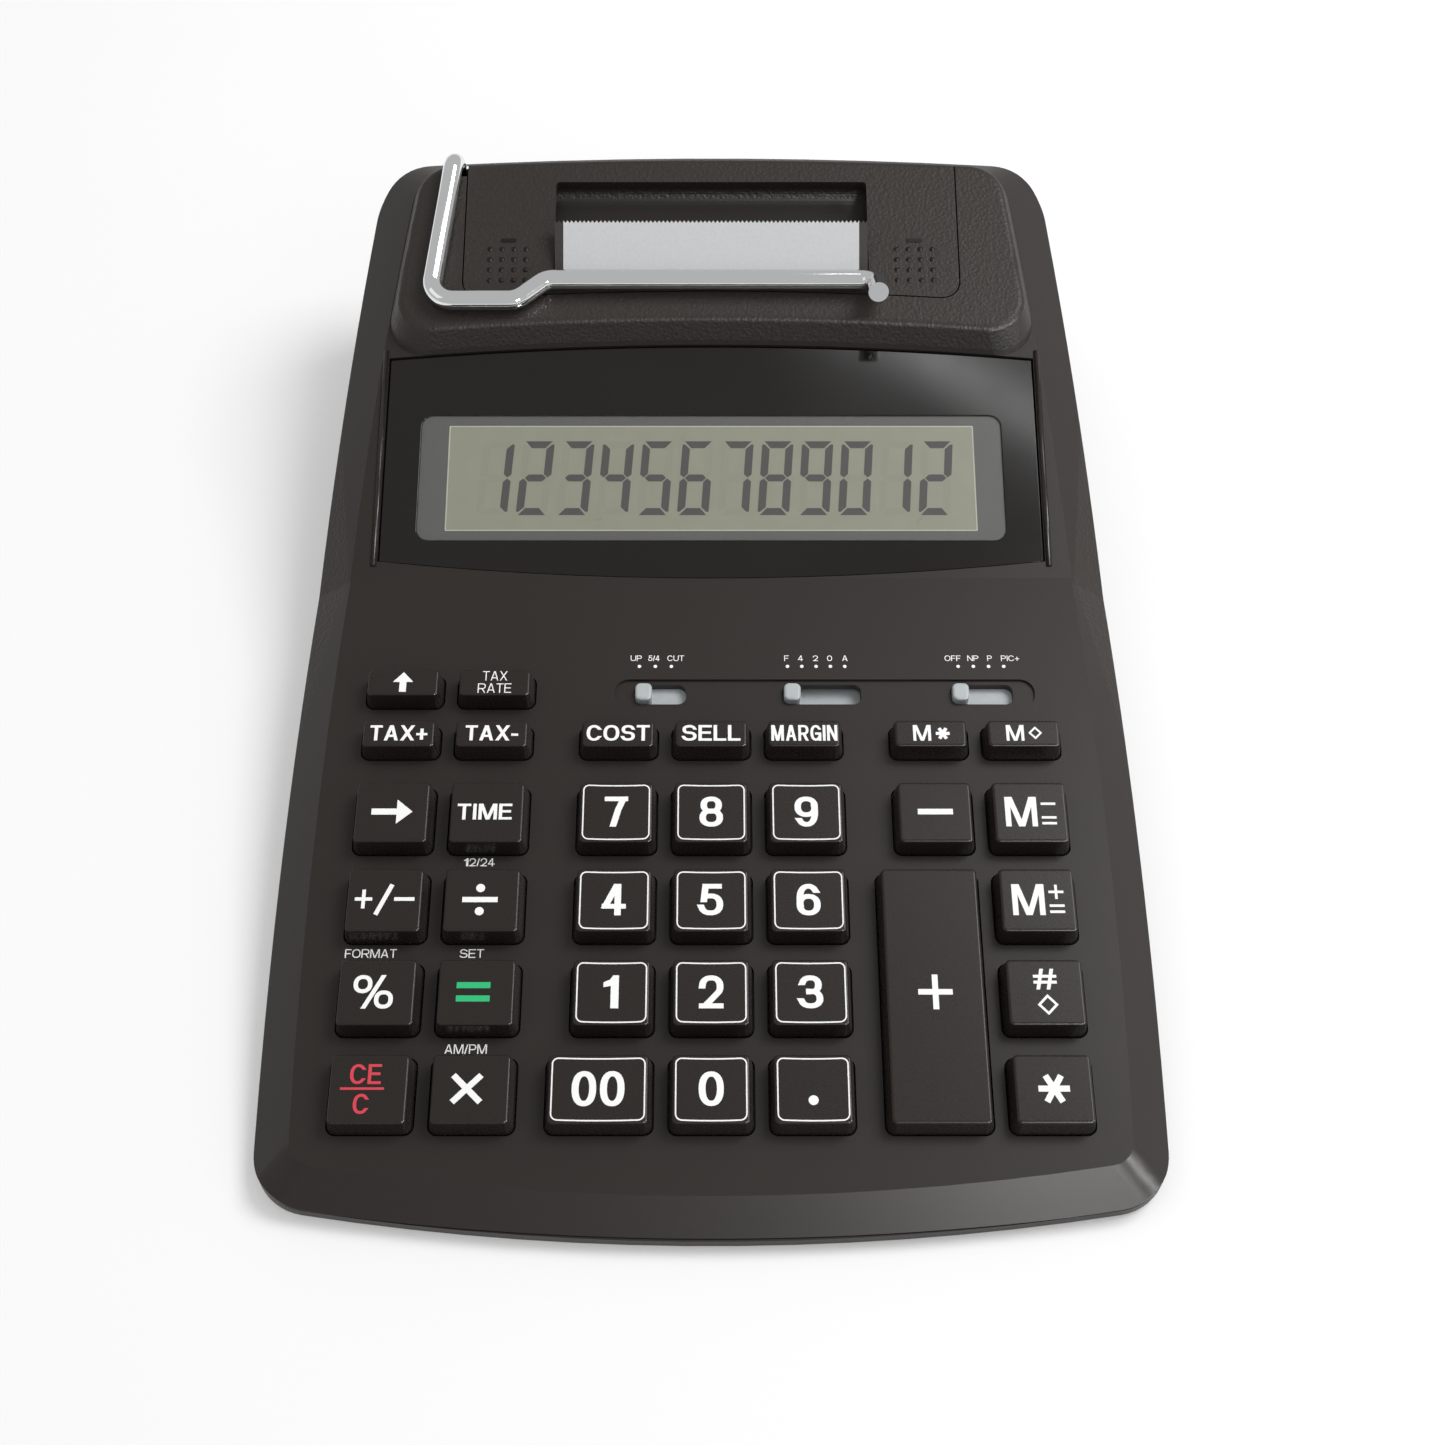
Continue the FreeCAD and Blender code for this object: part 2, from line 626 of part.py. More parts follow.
def shell_openings():
    """Tools for the holes in the top shell."""
    tools = []
    hole_corner = size["key_corner"] + size["fit"]
    for name, x, y, width, depth in key_list():
        tools.append(rounded_box(
            name + "_hole", DECK, (x, y), f"dims.{width} + 2 * dims.fit", f"dims.{depth} + 2 * dims.fit",
            -2 * size["wall"], "3 * dims.wall", hole_corner,
        ))
    strip_middle = size["strip_left"] + size["strip_length"] / 2
    strip_round = size["strip_width"] / 2 - size["fit"]
    tools.append(rounded_box(
        "switch_strip", DECK, (strip_middle, size["row_a"]), "dims.strip_length", "dims.strip_width",
        -size["strip_depth"], "dims.wall", strip_round,
    ))
    for name, left, travel, _ in SWITCHES:
        length = size["knob_length"] + travel + 2 * size["fit"]
        tools.append(rounded_box(
            name + "_slot", DECK, (left + length / 2, size["row_a"]),
            f"dims.knob_length + {travel} + 2 * dims.fit", "dims.slot_width",
            -2 * size["wall"], "3 * dims.wall", size["knob_length"] / 2,
        ))
    tools.append(lens_form("lens_recess", "fit", -size["lens_floor"], "2 * dims.lens_floor"))
    lcd_half = size["lcd_frame_width"] / 2 + size["fit"]
    tools.append(box(
        "lcd_opening", ROOF, (-lcd_half, size["lcd_frame_start"] - size["fit"], -2 * size["tray_thick"]),
        ("dims.lcd_frame_width + 2 * dims.fit", "dims.lcd_frame_length + 2 * dims.fit",
         "2 * dims.tray_thick"),
    ))
    tools.append(lid_form("cover_rebate", "fit", size["cover_floor"], "dims.roof_length"))
    bay_half = size["cover_width"] / 2 - size["ledge_width"]
    bay_front = size["platen_along"] - size["platen_radius"] - size["wall"]
    bay_length = size["housing_end"] - size["ledge_width"] - bay_front
    bay = new("Part::Box", "printer_bay", {
        "Length": "dims.cover_width - 2 * dims.ledge_width",
        "Height": "dims.cover_floor + dims.roof_length / 4",
    })
    bay.Width = bay_length
    tools.append(place(bay, ROOF, -bay_half, bay_front, -size["roof_length"] / 4))
    for teeth, axis in (("feed_teeth", PLATEN), ("wheel_teeth", WHEEL)):
        tools.append(rod(
            teeth + "_room", TABLE, (size["near_gear"] - size["fit"], axis.y, axis.z),
            f"dims.gear_module * (dims.{teeth} + 2) + 2 * dims.gear_clear",
            "dims.gear_end - dims.near_gear + 2 * dims.fit", ALONG_X,
        ))
    slot_bottom = PAPER_LEVEL - size["paper_thick"] - 4 * size["fit"]
    slot_half = size["window_width"] / 2
    tools.append(box(
        "paper_slot", TABLE, (-slot_half, REAR - 4 * size["wall"], slot_bottom),
        ("dims.window_width", "8 * dims.wall", "dims.paper_slot_height"),
    ))
    tools.append(rod(
        "jack_hole", TABLE, (size["jack_x"], REAR - 4 * size["wall"], size["jack_centre"]),
        "dims.jack_barrel + 2 * dims.fit", "8 * dims.wall", ALONG_REAR,
    ))
    tools.append(rod(
        "arm_bore", ROOF, (-size["arm_rear_left"], PIVOT.y, PIVOT.z), "dims.wire_diameter + dims.shaft_fit",
        "dims.arm_axle_length + dims.fit", ALONG_X,
    ))
    notch_left = -size["arm_rear_left"] - size["wire_diameter"] / 2 - size["notch_gap"]
    notch_front = PIVOT.y - size["wire_diameter"] / 2 - size["notch_gap"]
    notch = box("arm_notch", ROOF, (notch_left, notch_front, -size["notch_floor"]),
                ("dims.wire_diameter / 2 + dims.notch_gap + dims.arm_bend", "dims.roof_length",
                 "dims.roof_length"))
    tools.append(notch)
    for index, (x, y) in enumerate(SCREWS):
        tools.append(rod(
            f"screw_pilot_{index}", TABLE, (x, y, screw_seat()), "dims.screw_shank + dims.shaft_fit",
            "dims.screw_length + dims.floor_thick",
        ))
    return tools


def make_lower_case():
    """Bottom pan with its tongue, board posts, battery bay and screw seats."""
    pan = case_prism("pan_block", "flush", size["foot_height"], "dims.parting_height - dims.foot_height")
    pan_room = case_prism("pan_room", "wall", size["floor_top"], "dims.wall")
    tray = cut("pan", pan, [pan_room])
    tongue_height = "dims.parting_height + dims.tongue_height - dims.floor_top"
    tongue = case_prism("tongue_outside", "tongue_outer", size["floor_top"], tongue_height)
    ring = cut("tongue_ring", tongue, [
        case_prism("tongue_inside", "tongue_inner", size["floor_top"], tongue_height),
        box("tongue_end", TABLE, (-size["case_width"], 2 * FRONT, 0),
            ("2 * dims.case_width", "dims.case_length / 2 + dims.widest_from_front", "dims.case_width")),
    ])
    posts = []
    for x, v in BOARD_POSTS:
        foot = DECK.multVec(Vector(x, v, 0))
        posts.append(rod(
            f"board_post_{len(posts)}", TABLE, (foot.x, foot.y, size["floor_top"]), "dims.post_diameter",
            "dims.roof_length",
        ))
    board_under = size["board_depth"] + size["board_thick"] + size["seat_gap"]
    above_board = box(
        "above_board", DECK, (-size["case_width"], -size["case_length"], -board_under),
        ("2 * dims.case_width", "3 * dims.case_length", "dims.case_length"),
    )
    posts = cut("board_posts", join("board_post_rods", posts), [above_board])
    bay = box("bay_walls", TABLE, (-BAY_HALF - size["bay_wall"], BAY_FRONT, size["foot_height"]),
              ("2 * dims.cell_length + 2 * dims.bay_play + 2 * dims.bay_wall",
               "2 * dims.cell_diameter + 3 * dims.bay_play + 2 * dims.bay_wall",
               "dims.floor_thick + dims.cell_diameter + dims.bay_play + dims.bay_wall"))
    seats = []
    holes = [box("bay_room", TABLE, (-BAY_HALF, BAY_FRONT + size["bay_wall"], 0),
                 ("2 * dims.cell_length + 2 * dims.bay_play", "2 * dims.cell_diameter + 3 * dims.bay_play",
                  "dims.floor_top + dims.cell_diameter + dims.bay_play"))]
    for side in (-1, 1):
        holes.append(rod(
            f"door_pin_hole_{side + 1}", TABLE,
            (side * BAY_HALF - size["bay_wall"] * 0.9, DOOR_PIVOT.y, DOOR_PIVOT.z),
            "dims.door_pin + 2 * dims.shaft_fit", "1.8 * dims.bay_wall", ALONG_X,
        ))
    for index, (x, y) in enumerate(SCREWS):
        seats.append(rod(
            f"screw_seat_{index}", TABLE, (x, y, size["foot_height"]), "dims.screw_head + 2 * dims.wall",
            "dims.screw_head_thick + 2 * dims.floor_thick - dims.seat_gap",
        ))
        holes.append(rod(
            f"screw_counterbore_{index}", TABLE, (x, y, 0), "dims.screw_head + 2 * dims.fit",
            "dims.foot_height + dims.screw_head_thick + dims.floor_thick - dims.seat_gap",
        ))
        holes.append(rod(
            f"screw_clearance_{index}", TABLE, (x, y, 0),
            "dims.screw_shank + 2 * dims.fit", "dims.roof_length",
        ))
    for index, (x, y) in enumerate(FEET):
        holes.append(rod(
            f"foot_seat_{index}", TABLE, (x, y, 0), "dims.foot_diameter + 2 * dims.fit",
            "dims.foot_height + dims.foot_seat",
        ))
    shelf_left = size["jack_x"] - size["jack_width"] / 2
    shelf = box("jack_shelf", TABLE, (shelf_left, JACK_FRONT, size["foot_height"]),
                ("dims.jack_width", "dims.jack_depth",
                 "dims.jack_centre - dims.jack_height / 2 - dims.seat_gap - dims.foot_height"))
    whole = join("pan_with_seats", [tray, ring, posts, bay, shelf] + seats)
    return cut("lower_case", whole, holes)


def screw_seat():
    """Height of the face that a case screw's head presses on."""
    return size["foot_height"] + size["screw_head_thick"] + size["floor_thick"] - size["seat_gap"]


def make_screws():
    screws = []
    for index, (x, y) in enumerate(SCREWS):
        bottom = screw_seat() - size["screw_head_thick"] - size["seat_gap"] / 2
        head = rod(f"screw_head_{index}", TABLE, (x, y, bottom), "dims.screw_head", "dims.screw_head_thick")
        shank = rod(f"screw_shank_{index}", TABLE, (x, y, bottom), "dims.screw_shank", "dims.screw_length")
        screws.append(join(f"screw_{index}", [head, shank]))
    return group("case_screws", screws)


def make_feet():
    feet = []
    for index, (x, y) in enumerate(FEET):
        feet.append(rod(f"foot_{index}", TABLE, (x, y, 0), "dims.foot_diameter",
                        "dims.foot_height + dims.foot_seat"))
    return group("rubber_feet", feet)


def group(name, pieces):
    """Several like pieces kept as separate solids under one name."""
    compound = doc.addObject("Part::Compound", name)
    compound.Links = pieces
    return compound


def make_display():
    """Dark panel, grey surround and the liquid crystal glass under it."""
    lens = lens_form("display_lens", "flush", -size["lens_sink"] - size["lens_thick"], "dims.lens_thick")
    frame_top = -size["lens_floor"]
    half = size["lcd_frame_width"] / 2
    rim = box("lcd_frame_plate", ROOF, (-half, size["lcd_frame_start"], frame_top - size["lcd_frame_thick"]),
              ("dims.lcd_frame_width", "dims.lcd_frame_length", "dims.lcd_frame_thick"))
    start = size["lcd_frame_start"] + (size["lcd_frame_length"] - size["lcd_length"]) / 2
    window = box("lcd_window", ROOF, (-size["lcd_width"] / 2, start, -size["tray_thick"]),
                 ("dims.lcd_width", "dims.lcd_length", "dims.tray_thick"))
    cut("lcd_frame", rim, [window])
    border = size["lcd_border"]
    panel_top = frame_top - size["lcd_frame_thick"] - size["seat_gap"] / 2
    box("lcd_panel", ROOF, (-size["lcd_width"] / 2 - border, start - border, panel_top - size["lcd_thick"]),
        ("dims.lcd_width + 2 * dims.lcd_border", "dims.lcd_length + 2 * dims.lcd_border", "dims.lcd_thick"))
    return lens


def make_board_and_mat():
    half = size["outer_column"] + size["key_width"] / 2
    length = "dims.row_a + dims.key_depth - dims.board_start"
    box("main_board", DECK, (-half, size["board_start"], -size["board_depth"] - size["board_thick"]),
        ("2 * dims.outer_column + dims.key_width", length, "dims.board_thick"))
    sheet_bottom = -size["board_depth"]
    pieces = [box("mat_sheet", DECK, (-half, size["board_start"], sheet_bottom),
                  ("2 * dims.outer_column + dims.key_width", length, "dims.mat_thick"))]
    height = "dims.board_depth - dims.wall - 2 * dims.seat_gap - dims.flange_thick - dims.stem_length"
    for name, x, y, _, _ in key_list():
        dome = new("Part::Prism", name + "_dome", {"Circumradius": "dims.dome_width / 2", "Height": height})
        dome.Polygon = 8
        pieces.append(place(dome, DECK, x, y, sheet_bottom))
    join("keypad_mat", pieces)


# Slide switches: name, left end of the slot, travel, and level of the slide under the deck.
SWITCHES = [
    ("rounding_switch", -13.8, 5.8, 0),
    ("decimal_switch", 12.7, 10.6, 1),
    ("mode_switch", 42.7, 7.7, 0),
]


def make_switch(name, left, travel, level):
    """Knob above the strip, neck through the slot and a slide that fills the slot from below."""
    slide_top = -size["wall"] - size["seat_gap"] - level * (size["slide_thick"] + size["fit"])
    near = size["row_a"] - size["slot_width"] / 2
    knob = box(
        name + "_knob", DECK, (left + size["fit"], near + size["fit"], slide_top),
        ("dims.knob_length", "dims.slot_width - 2 * dims.fit",
         f"dims.knob_rise - dims.strip_depth + {-slide_top}"),
    )
    upright = round_upright(name + "_knob_upright", knob, DECK, lambda point: size["knob_length"] / 3)
    soft = round_rim(name + "_knob_soft", upright, DECK, size["key_edge"])
    slide = box(
        name + "_slide", DECK,
        (left - travel, near - size["slide_margin"], slide_top - size["slide_thick"]),
        (f"dims.knob_length + 2 * {travel} + 2 * dims.fit", "dims.slot_width + 2 * dims.slide_margin",
         "dims.slide_thick"),
    )
    return join(name, [soft, slide])


def make_cover():
    """Printer lid: the top of the housing between its rails, with the paper window."""
    blank = lid_form("cover_blank", "flush", size["housing_rise"] - size["cover_thick"], "dims.cover_thick")
    form = housing_form("cover_form")
    lid = overlap("cover_lid", [blank, form])
    window = rounded_box(
        "cover_window", ROOF, (0, size["window_start"] + size["window_length"] / 2), "dims.window_width",
        "dims.window_length", 0, "2 * dims.housing_rise", size["window_corner"],
    )
    return cut("printer_cover", lid, [window])


def make_tear_bar():
    """Clear plate with a toothed upper edge, and two cheeks with tabs under the lid."""
    slope = Rotation(Vector(1, 0, 0), size["tear_bar_slope"])
    frame = ROOF.multiply(Placement(Vector(0, size["window_start"] + 2 * size["fit"], TEAR_FOOT), slope))
    half = size["window_width"] / 2 - size["fit"]
    plate = box("tear_plate", frame, (-half, 0, 0),
                ("dims.window_width - 2 * dims.fit", "dims.tear_bar_height", "dims.tear_bar_thick"))
    count = int(2 * half / size["tooth_pitch"])
    points = []
    depth = size["tooth_depth"]
    for index in range(count):
        left = -count * size["tooth_pitch"] / 2 + index * size["tooth_pitch"]
        points.append(Vector(left, size["tear_bar_height"], 0))
        points.append(Vector(left + size["tooth_pitch"] / 2, size["tear_bar_height"] - depth, 0))
    points.append(Vector(count * size["tooth_pitch"] / 2, size["tear_bar_height"], 0))
    points.append(Vector(count * size["tooth_pitch"] / 2, size["tear_bar_height"] + depth, 0))
    points.append(Vector(-count * size["tooth_pitch"] / 2, size["tear_bar_height"] + depth, 0))
    outline = Part.Face(Part.makePolygon(points + points[:1]))
    teeth = doc.addObject("Part::Feature", "tear_teeth")
    teeth.Shape = outline.extrude(Vector(0, 0, size["tear_bar_thick"]))
    teeth.Placement = frame
    pieces = [cut("tear_blade", plate, [teeth])]
    tab_top = size["housing_rise"] - size["cover_thick"] - size["seat_gap"]
    tab_front = size["window_start"] + size["tear_bar_thick"]
    for side in (-1, 1):
        outer = side * half
        cheek_x = min(outer, outer - side * size["tear_bar_thick"])
        cheek = box(f"tear_cheek_{side + 1}", ROOF, (cheek_x, tab_front, tab_top - size["tear_bar_thick"]),
                    ("dims.tear_bar_thick", "dims.tear_bar_height / 2",
                     "dims.cover_thick + dims.tear_bar_thick"))
        under = box(f"tear_under_{side + 1}", frame, (-size["window_width"], -size["tear_bar_height"],
                                                      size["tear_bar_thick"]),
                    ("2 * dims.window_width", "3 * dims.tear_bar_height", "dims.tear_bar_height"))
        pieces.append(cut(f"tear_gusset_{side + 1}", cheek, [under]))
        tab_x = min(outer - side * size["tear_bar_thick"], outer + side * size["ledge_width"])
        pieces.append(box(
            f"tear_tab_{side + 1}", ROOF,
            (tab_x, tab_front, tab_top - size["tear_bar_thick"]),
            ("dims.tear_bar_thick + dims.ledge_width", "dims.tear_bar_height / 2", "dims.tear_bar_thick"),
        ))
    return join("tear_bar", pieces)


def make_paper():
    """Paper from the rear slot, round the front of the platen and up behind the tear bar."""
    slope = math.radians(size["tear_bar_slope"] + size["display_tilt"])
    leave = Vector(0, math.cos(slope), math.sin(slope))
    out = Vector(0, -math.sin(slope), math.cos(slope))
    edges = []
    for radius in (size["paper_radius"], size["paper_radius"] + size["paper_thick"]):
        bottom = PLATEN + Vector(0, 0, -radius)
        front = PLATEN + Vector(0, -radius, 0)
        top = PLATEN + out * radius
        end = top + leave * PAPER_RUN
        start = Vector(0, REAR - size["wall"], bottom.z)
        edges.append([
            Part.LineSegment(start, bottom).toShape(),
            Part.Arc(bottom, front, top).toShape(),
            Part.LineSegment(top, end).toShape(),
        ])
    inner, outer = edges
    caps = [
        Part.LineSegment(inner[2].Vertexes[-1].Point, outer[2].Vertexes[-1].Point).toShape(),
        Part.LineSegment(inner[0].Vertexes[0].Point, outer[0].Vertexes[0].Point).toShape(),
    ]
    profile = Part.Face(Part.Wire(Part.__sortEdges__(inner + outer + caps)))
    paper = doc.addObject("Part::Feature", "paper_strip")
    paper.Shape = profile.extrude(Vector(size["paper_width"], 0, 0))
    paper.Placement = Placement(Vector(-size["paper_width"] / 2, 0, 0), Rotation())
    return paper


def make_gear(name, axis, x, teeth, phase):
    """Spur gear about the X direction, with one tooth pointing at the phase angle."""
    module = size["gear_module"]
    pitch_radius = module * teeth / 2
    outer, root = pitch_radius + 0.8 * module, pitch_radius - 1.2 * module
    step = 2 * math.pi / teeth
    points = []
    for index in range(teeth):
        middle = math.radians(phase) + index * step
        for radius, share in ((root, -0.30), (outer, -0.12), (outer, 0.12), (root, 0.30)):
            angle = middle + share * step
            points.append(Vector(0, radius * math.cos(angle), radius * math.sin(angle)))
    blank = Part.Face(Part.makePolygon(points + points[:1]))
    gear = doc.addObject("Part::Feature", name)
    gear.Shape = blank.extrude(Vector(size["gear_width"], 0, 0))
    gear.Placement = Placement(Vector(x, axis.y, axis.z), Rotation())
    return gear


def make_rollers():
    """Platen, print wheel, ink roller and motor, with their gears on the right."""
    reach = size["shaft_reach"]
    near_gear, far_gear, end = size["near_gear"], size["far_gear"], size["gear_end"]

    def spindle(name, axis, diameter, right):
        piece = rod(name, TABLE, (-reach, axis.y, axis.z), diameter, "dims.frame_half_width", ALONG_X)
        piece.Height = reach + right
        piece.setExpression("Height", None)
        return piece

    to_platen = math.degrees(math.atan2(PLATEN.z - WHEEL.z, PLATEN.y - WHEEL.y))
    platen_phase = to_platen + 180 + 180 / size["feed_teeth"]
    half = size["platen_length"] / 2
    join("feed_roller", [
        spindle("platen_shaft", PLATEN, "dims.platen_shaft", end),
        rod("platen", TABLE, (-half, PLATEN.y, PLATEN.z), "2 * dims.platen_radius", "dims.platen_length",
            ALONG_X),
        make_gear("feed_gear", PLATEN, far_gear, size["feed_teeth"], platen_phase),
    ])
    discs = []
    pitch = size["paper_width"] / size["type_discs"]
    for index in range(size["type_discs"]):
        left = -size["paper_width"] / 2 + index * pitch + size["type_disc_gap"] / 2
        disc = rod(f"type_disc_{index}", TABLE, (left, WHEEL.y, WHEEL.z), "2 * dims.wheel_radius",
                   "dims.paper_width / dims.type_discs - dims.type_disc_gap", ALONG_X)
        discs.append(disc)
    join("print_wheel", discs + [
        spindle("wheel_shaft", WHEEL, "dims.wheel_shaft", end),
        make_gear("wheel_gear", WHEEL, near_gear, size["wheel_teeth"], -90),
        make_gear("wheel_feed_gear", WHEEL, far_gear, size["wheel_feed_teeth"], to_platen),
    ])
    join("ink_roller", [
        spindle("ink_shaft", INK, "dims.wheel_shaft", reach),
        rod("ink_sleeve", TABLE, (-half, INK.y, INK.z), "2 * dims.ink_radius", "dims.platen_length", ALONG_X),
    ])
    motor_left = size["frame_half_width"] - size["seat_gap"] - size["motor_length"]
    shaft = rod("motor_shaft_rod", TABLE, (motor_left, MOTOR.y, MOTOR.z), "dims.motor_shaft",
                "dims.motor_length", ALONG_X)
    shaft.setExpression("Height", None)
    shaft.Height = end - motor_left
    join("printer_motor", [
        rod("motor_can", TABLE, (motor_left, MOTOR.y, MOTOR.z), "dims.motor_diameter", "dims.motor_length",
            ALONG_X),
        shaft,
    ])
    pinion_phase = 90 + 180 / size["pinion_teeth"]
    pinion = make_gear("pinion_blank", MOTOR, near_gear, size["pinion_teeth"], pinion_phase)
    cut("motor_pinion", pinion, [
        rod("pinion_bore", TABLE, (0, MOTOR.y, MOTOR.z), "dims.motor_shaft + dims.shaft_fit",
            "2 * dims.cover_width", ALONG_X),
    ])


def make_printer_frame():
    """Two side plates that carry the shafts, tied across at the foot."""
    front = INK.y - size["wheel_shaft"] / 2 - size["bay_wall"]
    depth = PLATEN.y + size["platen_radius"] + size["wall"] - front
    plates = []
    for side in (-1, 1):
        left = size["frame_half_width"] if side > 0 else -size["frame_half_width"] - size["frame_plate"]
        plate = box(f"frame_plate_{side + 1}", TABLE, (left, front, size["plate_bottom"]),
                    ("dims.frame_plate", "dims.wall", "dims.roof_length"))
        plate.setExpression("Width", None)
        plate.Width = depth
        plates.append(plate)
    ties = []
    for index, y in enumerate((front, front + depth - 2 * size["wall"])):
        ties.append(box(f"frame_tie_{index}", TABLE, (-size["frame_half_width"], y, size["plate_bottom"]),
                        ("2 * dims.frame_half_width", "2 * dims.wall", "dims.wall")))
    ties.append(box(
        "paper_guide", TABLE,
        (-size["frame_half_width"], front + depth - size["wall"], PLATEN.z - size["wall"]),
        ("2 * dims.frame_half_width", "dims.platen_radius * 2", "dims.frame_plate"),
    ))
    low = size["tray_thick"] + size["fit"]
    tools = [
        box("frame_top", ROOF,
            (-size["case_width"], -size["roof_length"], size["housing_ceiling"] - size["fit"]),
            ("2 * dims.case_width", "3 * dims.roof_length", "dims.roof_length")),
        box("frame_front_top", ROOF, (-size["case_width"], -size["roof_length"], -low),
            ("2 * dims.case_width", "dims.roof_length + dims.housing_start + 3 * dims.wall",
             "dims.roof_length")),
    ]
    for name, axis, diameter in (
        ("platen", PLATEN, "platen_shaft"), ("wheel", WHEEL, "wheel_shaft"), ("ink", INK, "wheel_shaft"),
        ("motor", MOTOR, "motor_shaft"),
    ):
        tools.append(rod(f"{name}_bore", TABLE, (-size["case_width"] / 2, axis.y, axis.z),
                         f"dims.{diameter} + dims.shaft_fit", "dims.case_width", ALONG_X))
    return cut("printer_frame", join("frame_blank", plates + ties), tools)


def make_arm():
    """One bent wire: axle, upright, long leg, bar with a jog, and a turned-up end."""
    level = size["housing_rise"] + size["wire_above"]
    front, rear = size["arm_bar_front"], size["arm_bar_rear"]
    jog = -size["arm_jog_x"]
    corners = [
        Vector(-size["arm_rear_left"] + size["arm_axle_length"], PIVOT.y, PIVOT.z),
        Vector(-size["arm_rear_left"], PIVOT.y, PIVOT.z),
        Vector(-size["arm_rear_left"], PIVOT.y, level),
        Vector(-size["arm_left"], front, level),
        Vector(jog, front, level),
        Vector(jog + size["arm_jog_run"], rear, level),
        Vector(size["arm_right"], rear, level),
        Vector(size["arm_right"], rear - size["arm_tip_front"], level + size["arm_tip_rise"]),
    ]
    edges = []
    previous = corners[0]
    for before, corner, after in zip(corners, corners[1:], corners[2:]):
        arriving = (before - corner).normalize()
        leaving = (after - corner).normalize()
        half_angle = math.acos(max(-1, min(1, arriving.dot(leaving)))) / 2
        shortest = min((before - corner).Length, (after - corner).Length)
        tangent = min(size["arm_corner"] / math.tan(half_angle), 0.45 * shortest)
        radius = tangent * math.tan(half_angle)
        middle = (arriving + leaving).normalize() * (radius / math.sin(half_angle) - radius) + corner
        start, end = corner + arriving * tangent, corner + leaving * tangent
        edges.append(Part.LineSegment(previous, start).toShape())
        edges.append(Part.Arc(start, middle, end).toShape())
        previous = end
    edges.append(Part.LineSegment(previous, corners[-1]).toShape())
    spine = doc.addObject("Part::Feature", "arm_spine")
    spine.Shape = Part.Wire(edges)
    section = new("Part::Circle", "arm_section", {"Radius": "dims.wire_diameter / 2"})
    section.Placement = Placement(corners[0], ALONG_X)
    arm = doc.addObject("Part::Sweep", "paper_arm")
    arm.Sections = [section]
    arm.Spine = spine
    arm.Solid = True
    arm.Frenet = False
    arm.Placement = ROOF
    return arm


def make_power():
    """Cells in the bay, the hinged door under them and the power inlet at the rear."""
    cells = []
    door_top = size["floor_top"] + size["seat_gap"]
    for row in (0, 1):
        y = BAY_FRONT + size["bay_wall"] + size["bay_play"] + size["cell_diameter"] / 2
        y += row * (size["cell_diameter"] + size["bay_play"])
        for side in (-1, 1):
            start = -size["cell_length"] if side < 0 else 0
            cells.append(rod(f"cell_{row}_{side + 1}", TABLE,
                             (start + side * size["seat_gap"], y, door_top + size["cell_diameter"] / 2),
                             "dims.cell_diameter", "dims.cell_length", ALONG_X))
    group("battery_cells", cells)
    rear_edge = DOOR_PIVOT.y
    front_edge = BAY_FRONT + size["bay_wall"] + size["fit"]
    half = BAY_HALF - size["fit"]
    plate = box("door_plate", TABLE, (-half, front_edge, size["foot_height"]),
                ("2 * dims.cell_length + 2 * dims.bay_play - 2 * dims.fit", "dims.cell_diameter",
                 "dims.floor_thick"))
    plate.setExpression("Width", None)
    plate.Width = rear_edge - front_edge
    barrel = rod("door_barrel", TABLE, (-half, DOOR_PIVOT.y, DOOR_PIVOT.z), "dims.floor_thick",
                 "2 * dims.cell_length + 2 * dims.bay_play - 2 * dims.fit", ALONG_X)
    pins = rod("door_pins", TABLE, (-half - size["bay_wall"], DOOR_PIVOT.y, DOOR_PIVOT.z), "dims.door_pin",
               "2 * dims.cell_length + 2 * dims.bay_play - 2 * dims.fit + 2 * dims.bay_wall", ALONG_X)
    join("battery_door", [plate, barrel, pins])
    left = size["jack_x"] - size["jack_width"] / 2
    bottom = size["jack_centre"] - size["jack_height"] / 2
    block = box("jack_block", TABLE, (left, JACK_FRONT, bottom),
                ("dims.jack_width", "dims.jack_depth", "dims.jack_height"))
    barrel = rod("jack_barrel_rod", TABLE, (size["jack_x"], JACK_FRONT, size["jack_centre"]),
                 "dims.jack_barrel", "dims.jack_depth + dims.wall", ALONG_REAR)
    bore = rod("jack_bore_hole", TABLE, (size["jack_x"], JACK_FRONT + 2 * size["wall"], size["jack_centre"]),
               "dims.jack_bore", "2 * dims.jack_depth", ALONG_REAR)
    pin = rod("jack_pin_rod", TABLE, (size["jack_x"], JACK_FRONT + size["wall"], size["jack_centre"]),
              "dims.jack_pin", "dims.jack_depth - dims.wall", ALONG_REAR)
    join("power_jack", [cut("jack_shell", join("jack_blank", [block, barrel]), [bore]), pin])


# Places that several pieces share.
PIVOT = Vector(0, size["housing_end"] - size["arm_pivot_ahead"], size["arm_pivot_above"])
PLATEN = ROOF.multVec(Vector(0, size["platen_along"], -size["platen_below"]))
WHEEL_TURN = math.radians(size["wheel_angle"])
WHEEL = PLATEN - Vector(0, math.cos(WHEEL_TURN), math.sin(WHEEL_TURN)) * size["gear_module"] * (
    size["wheel_feed_teeth"] + size["feed_teeth"]
) * 0.5
INK_TURN = math.radians(size["ink_angle"])
INK = WHEEL + Vector(0, math.cos(INK_TURN), math.sin(INK_TURN)) * (
    size["wheel_radius"] + size["ink_radius"] + size["nip"]
)
MOTOR = WHEEL - Vector(0, 0, size["gear_module"] * (size["pinion_teeth"] + size["wheel_teeth"]) * 0.5)
PAPER_LEVEL = PLATEN.z - size["paper_radius"]
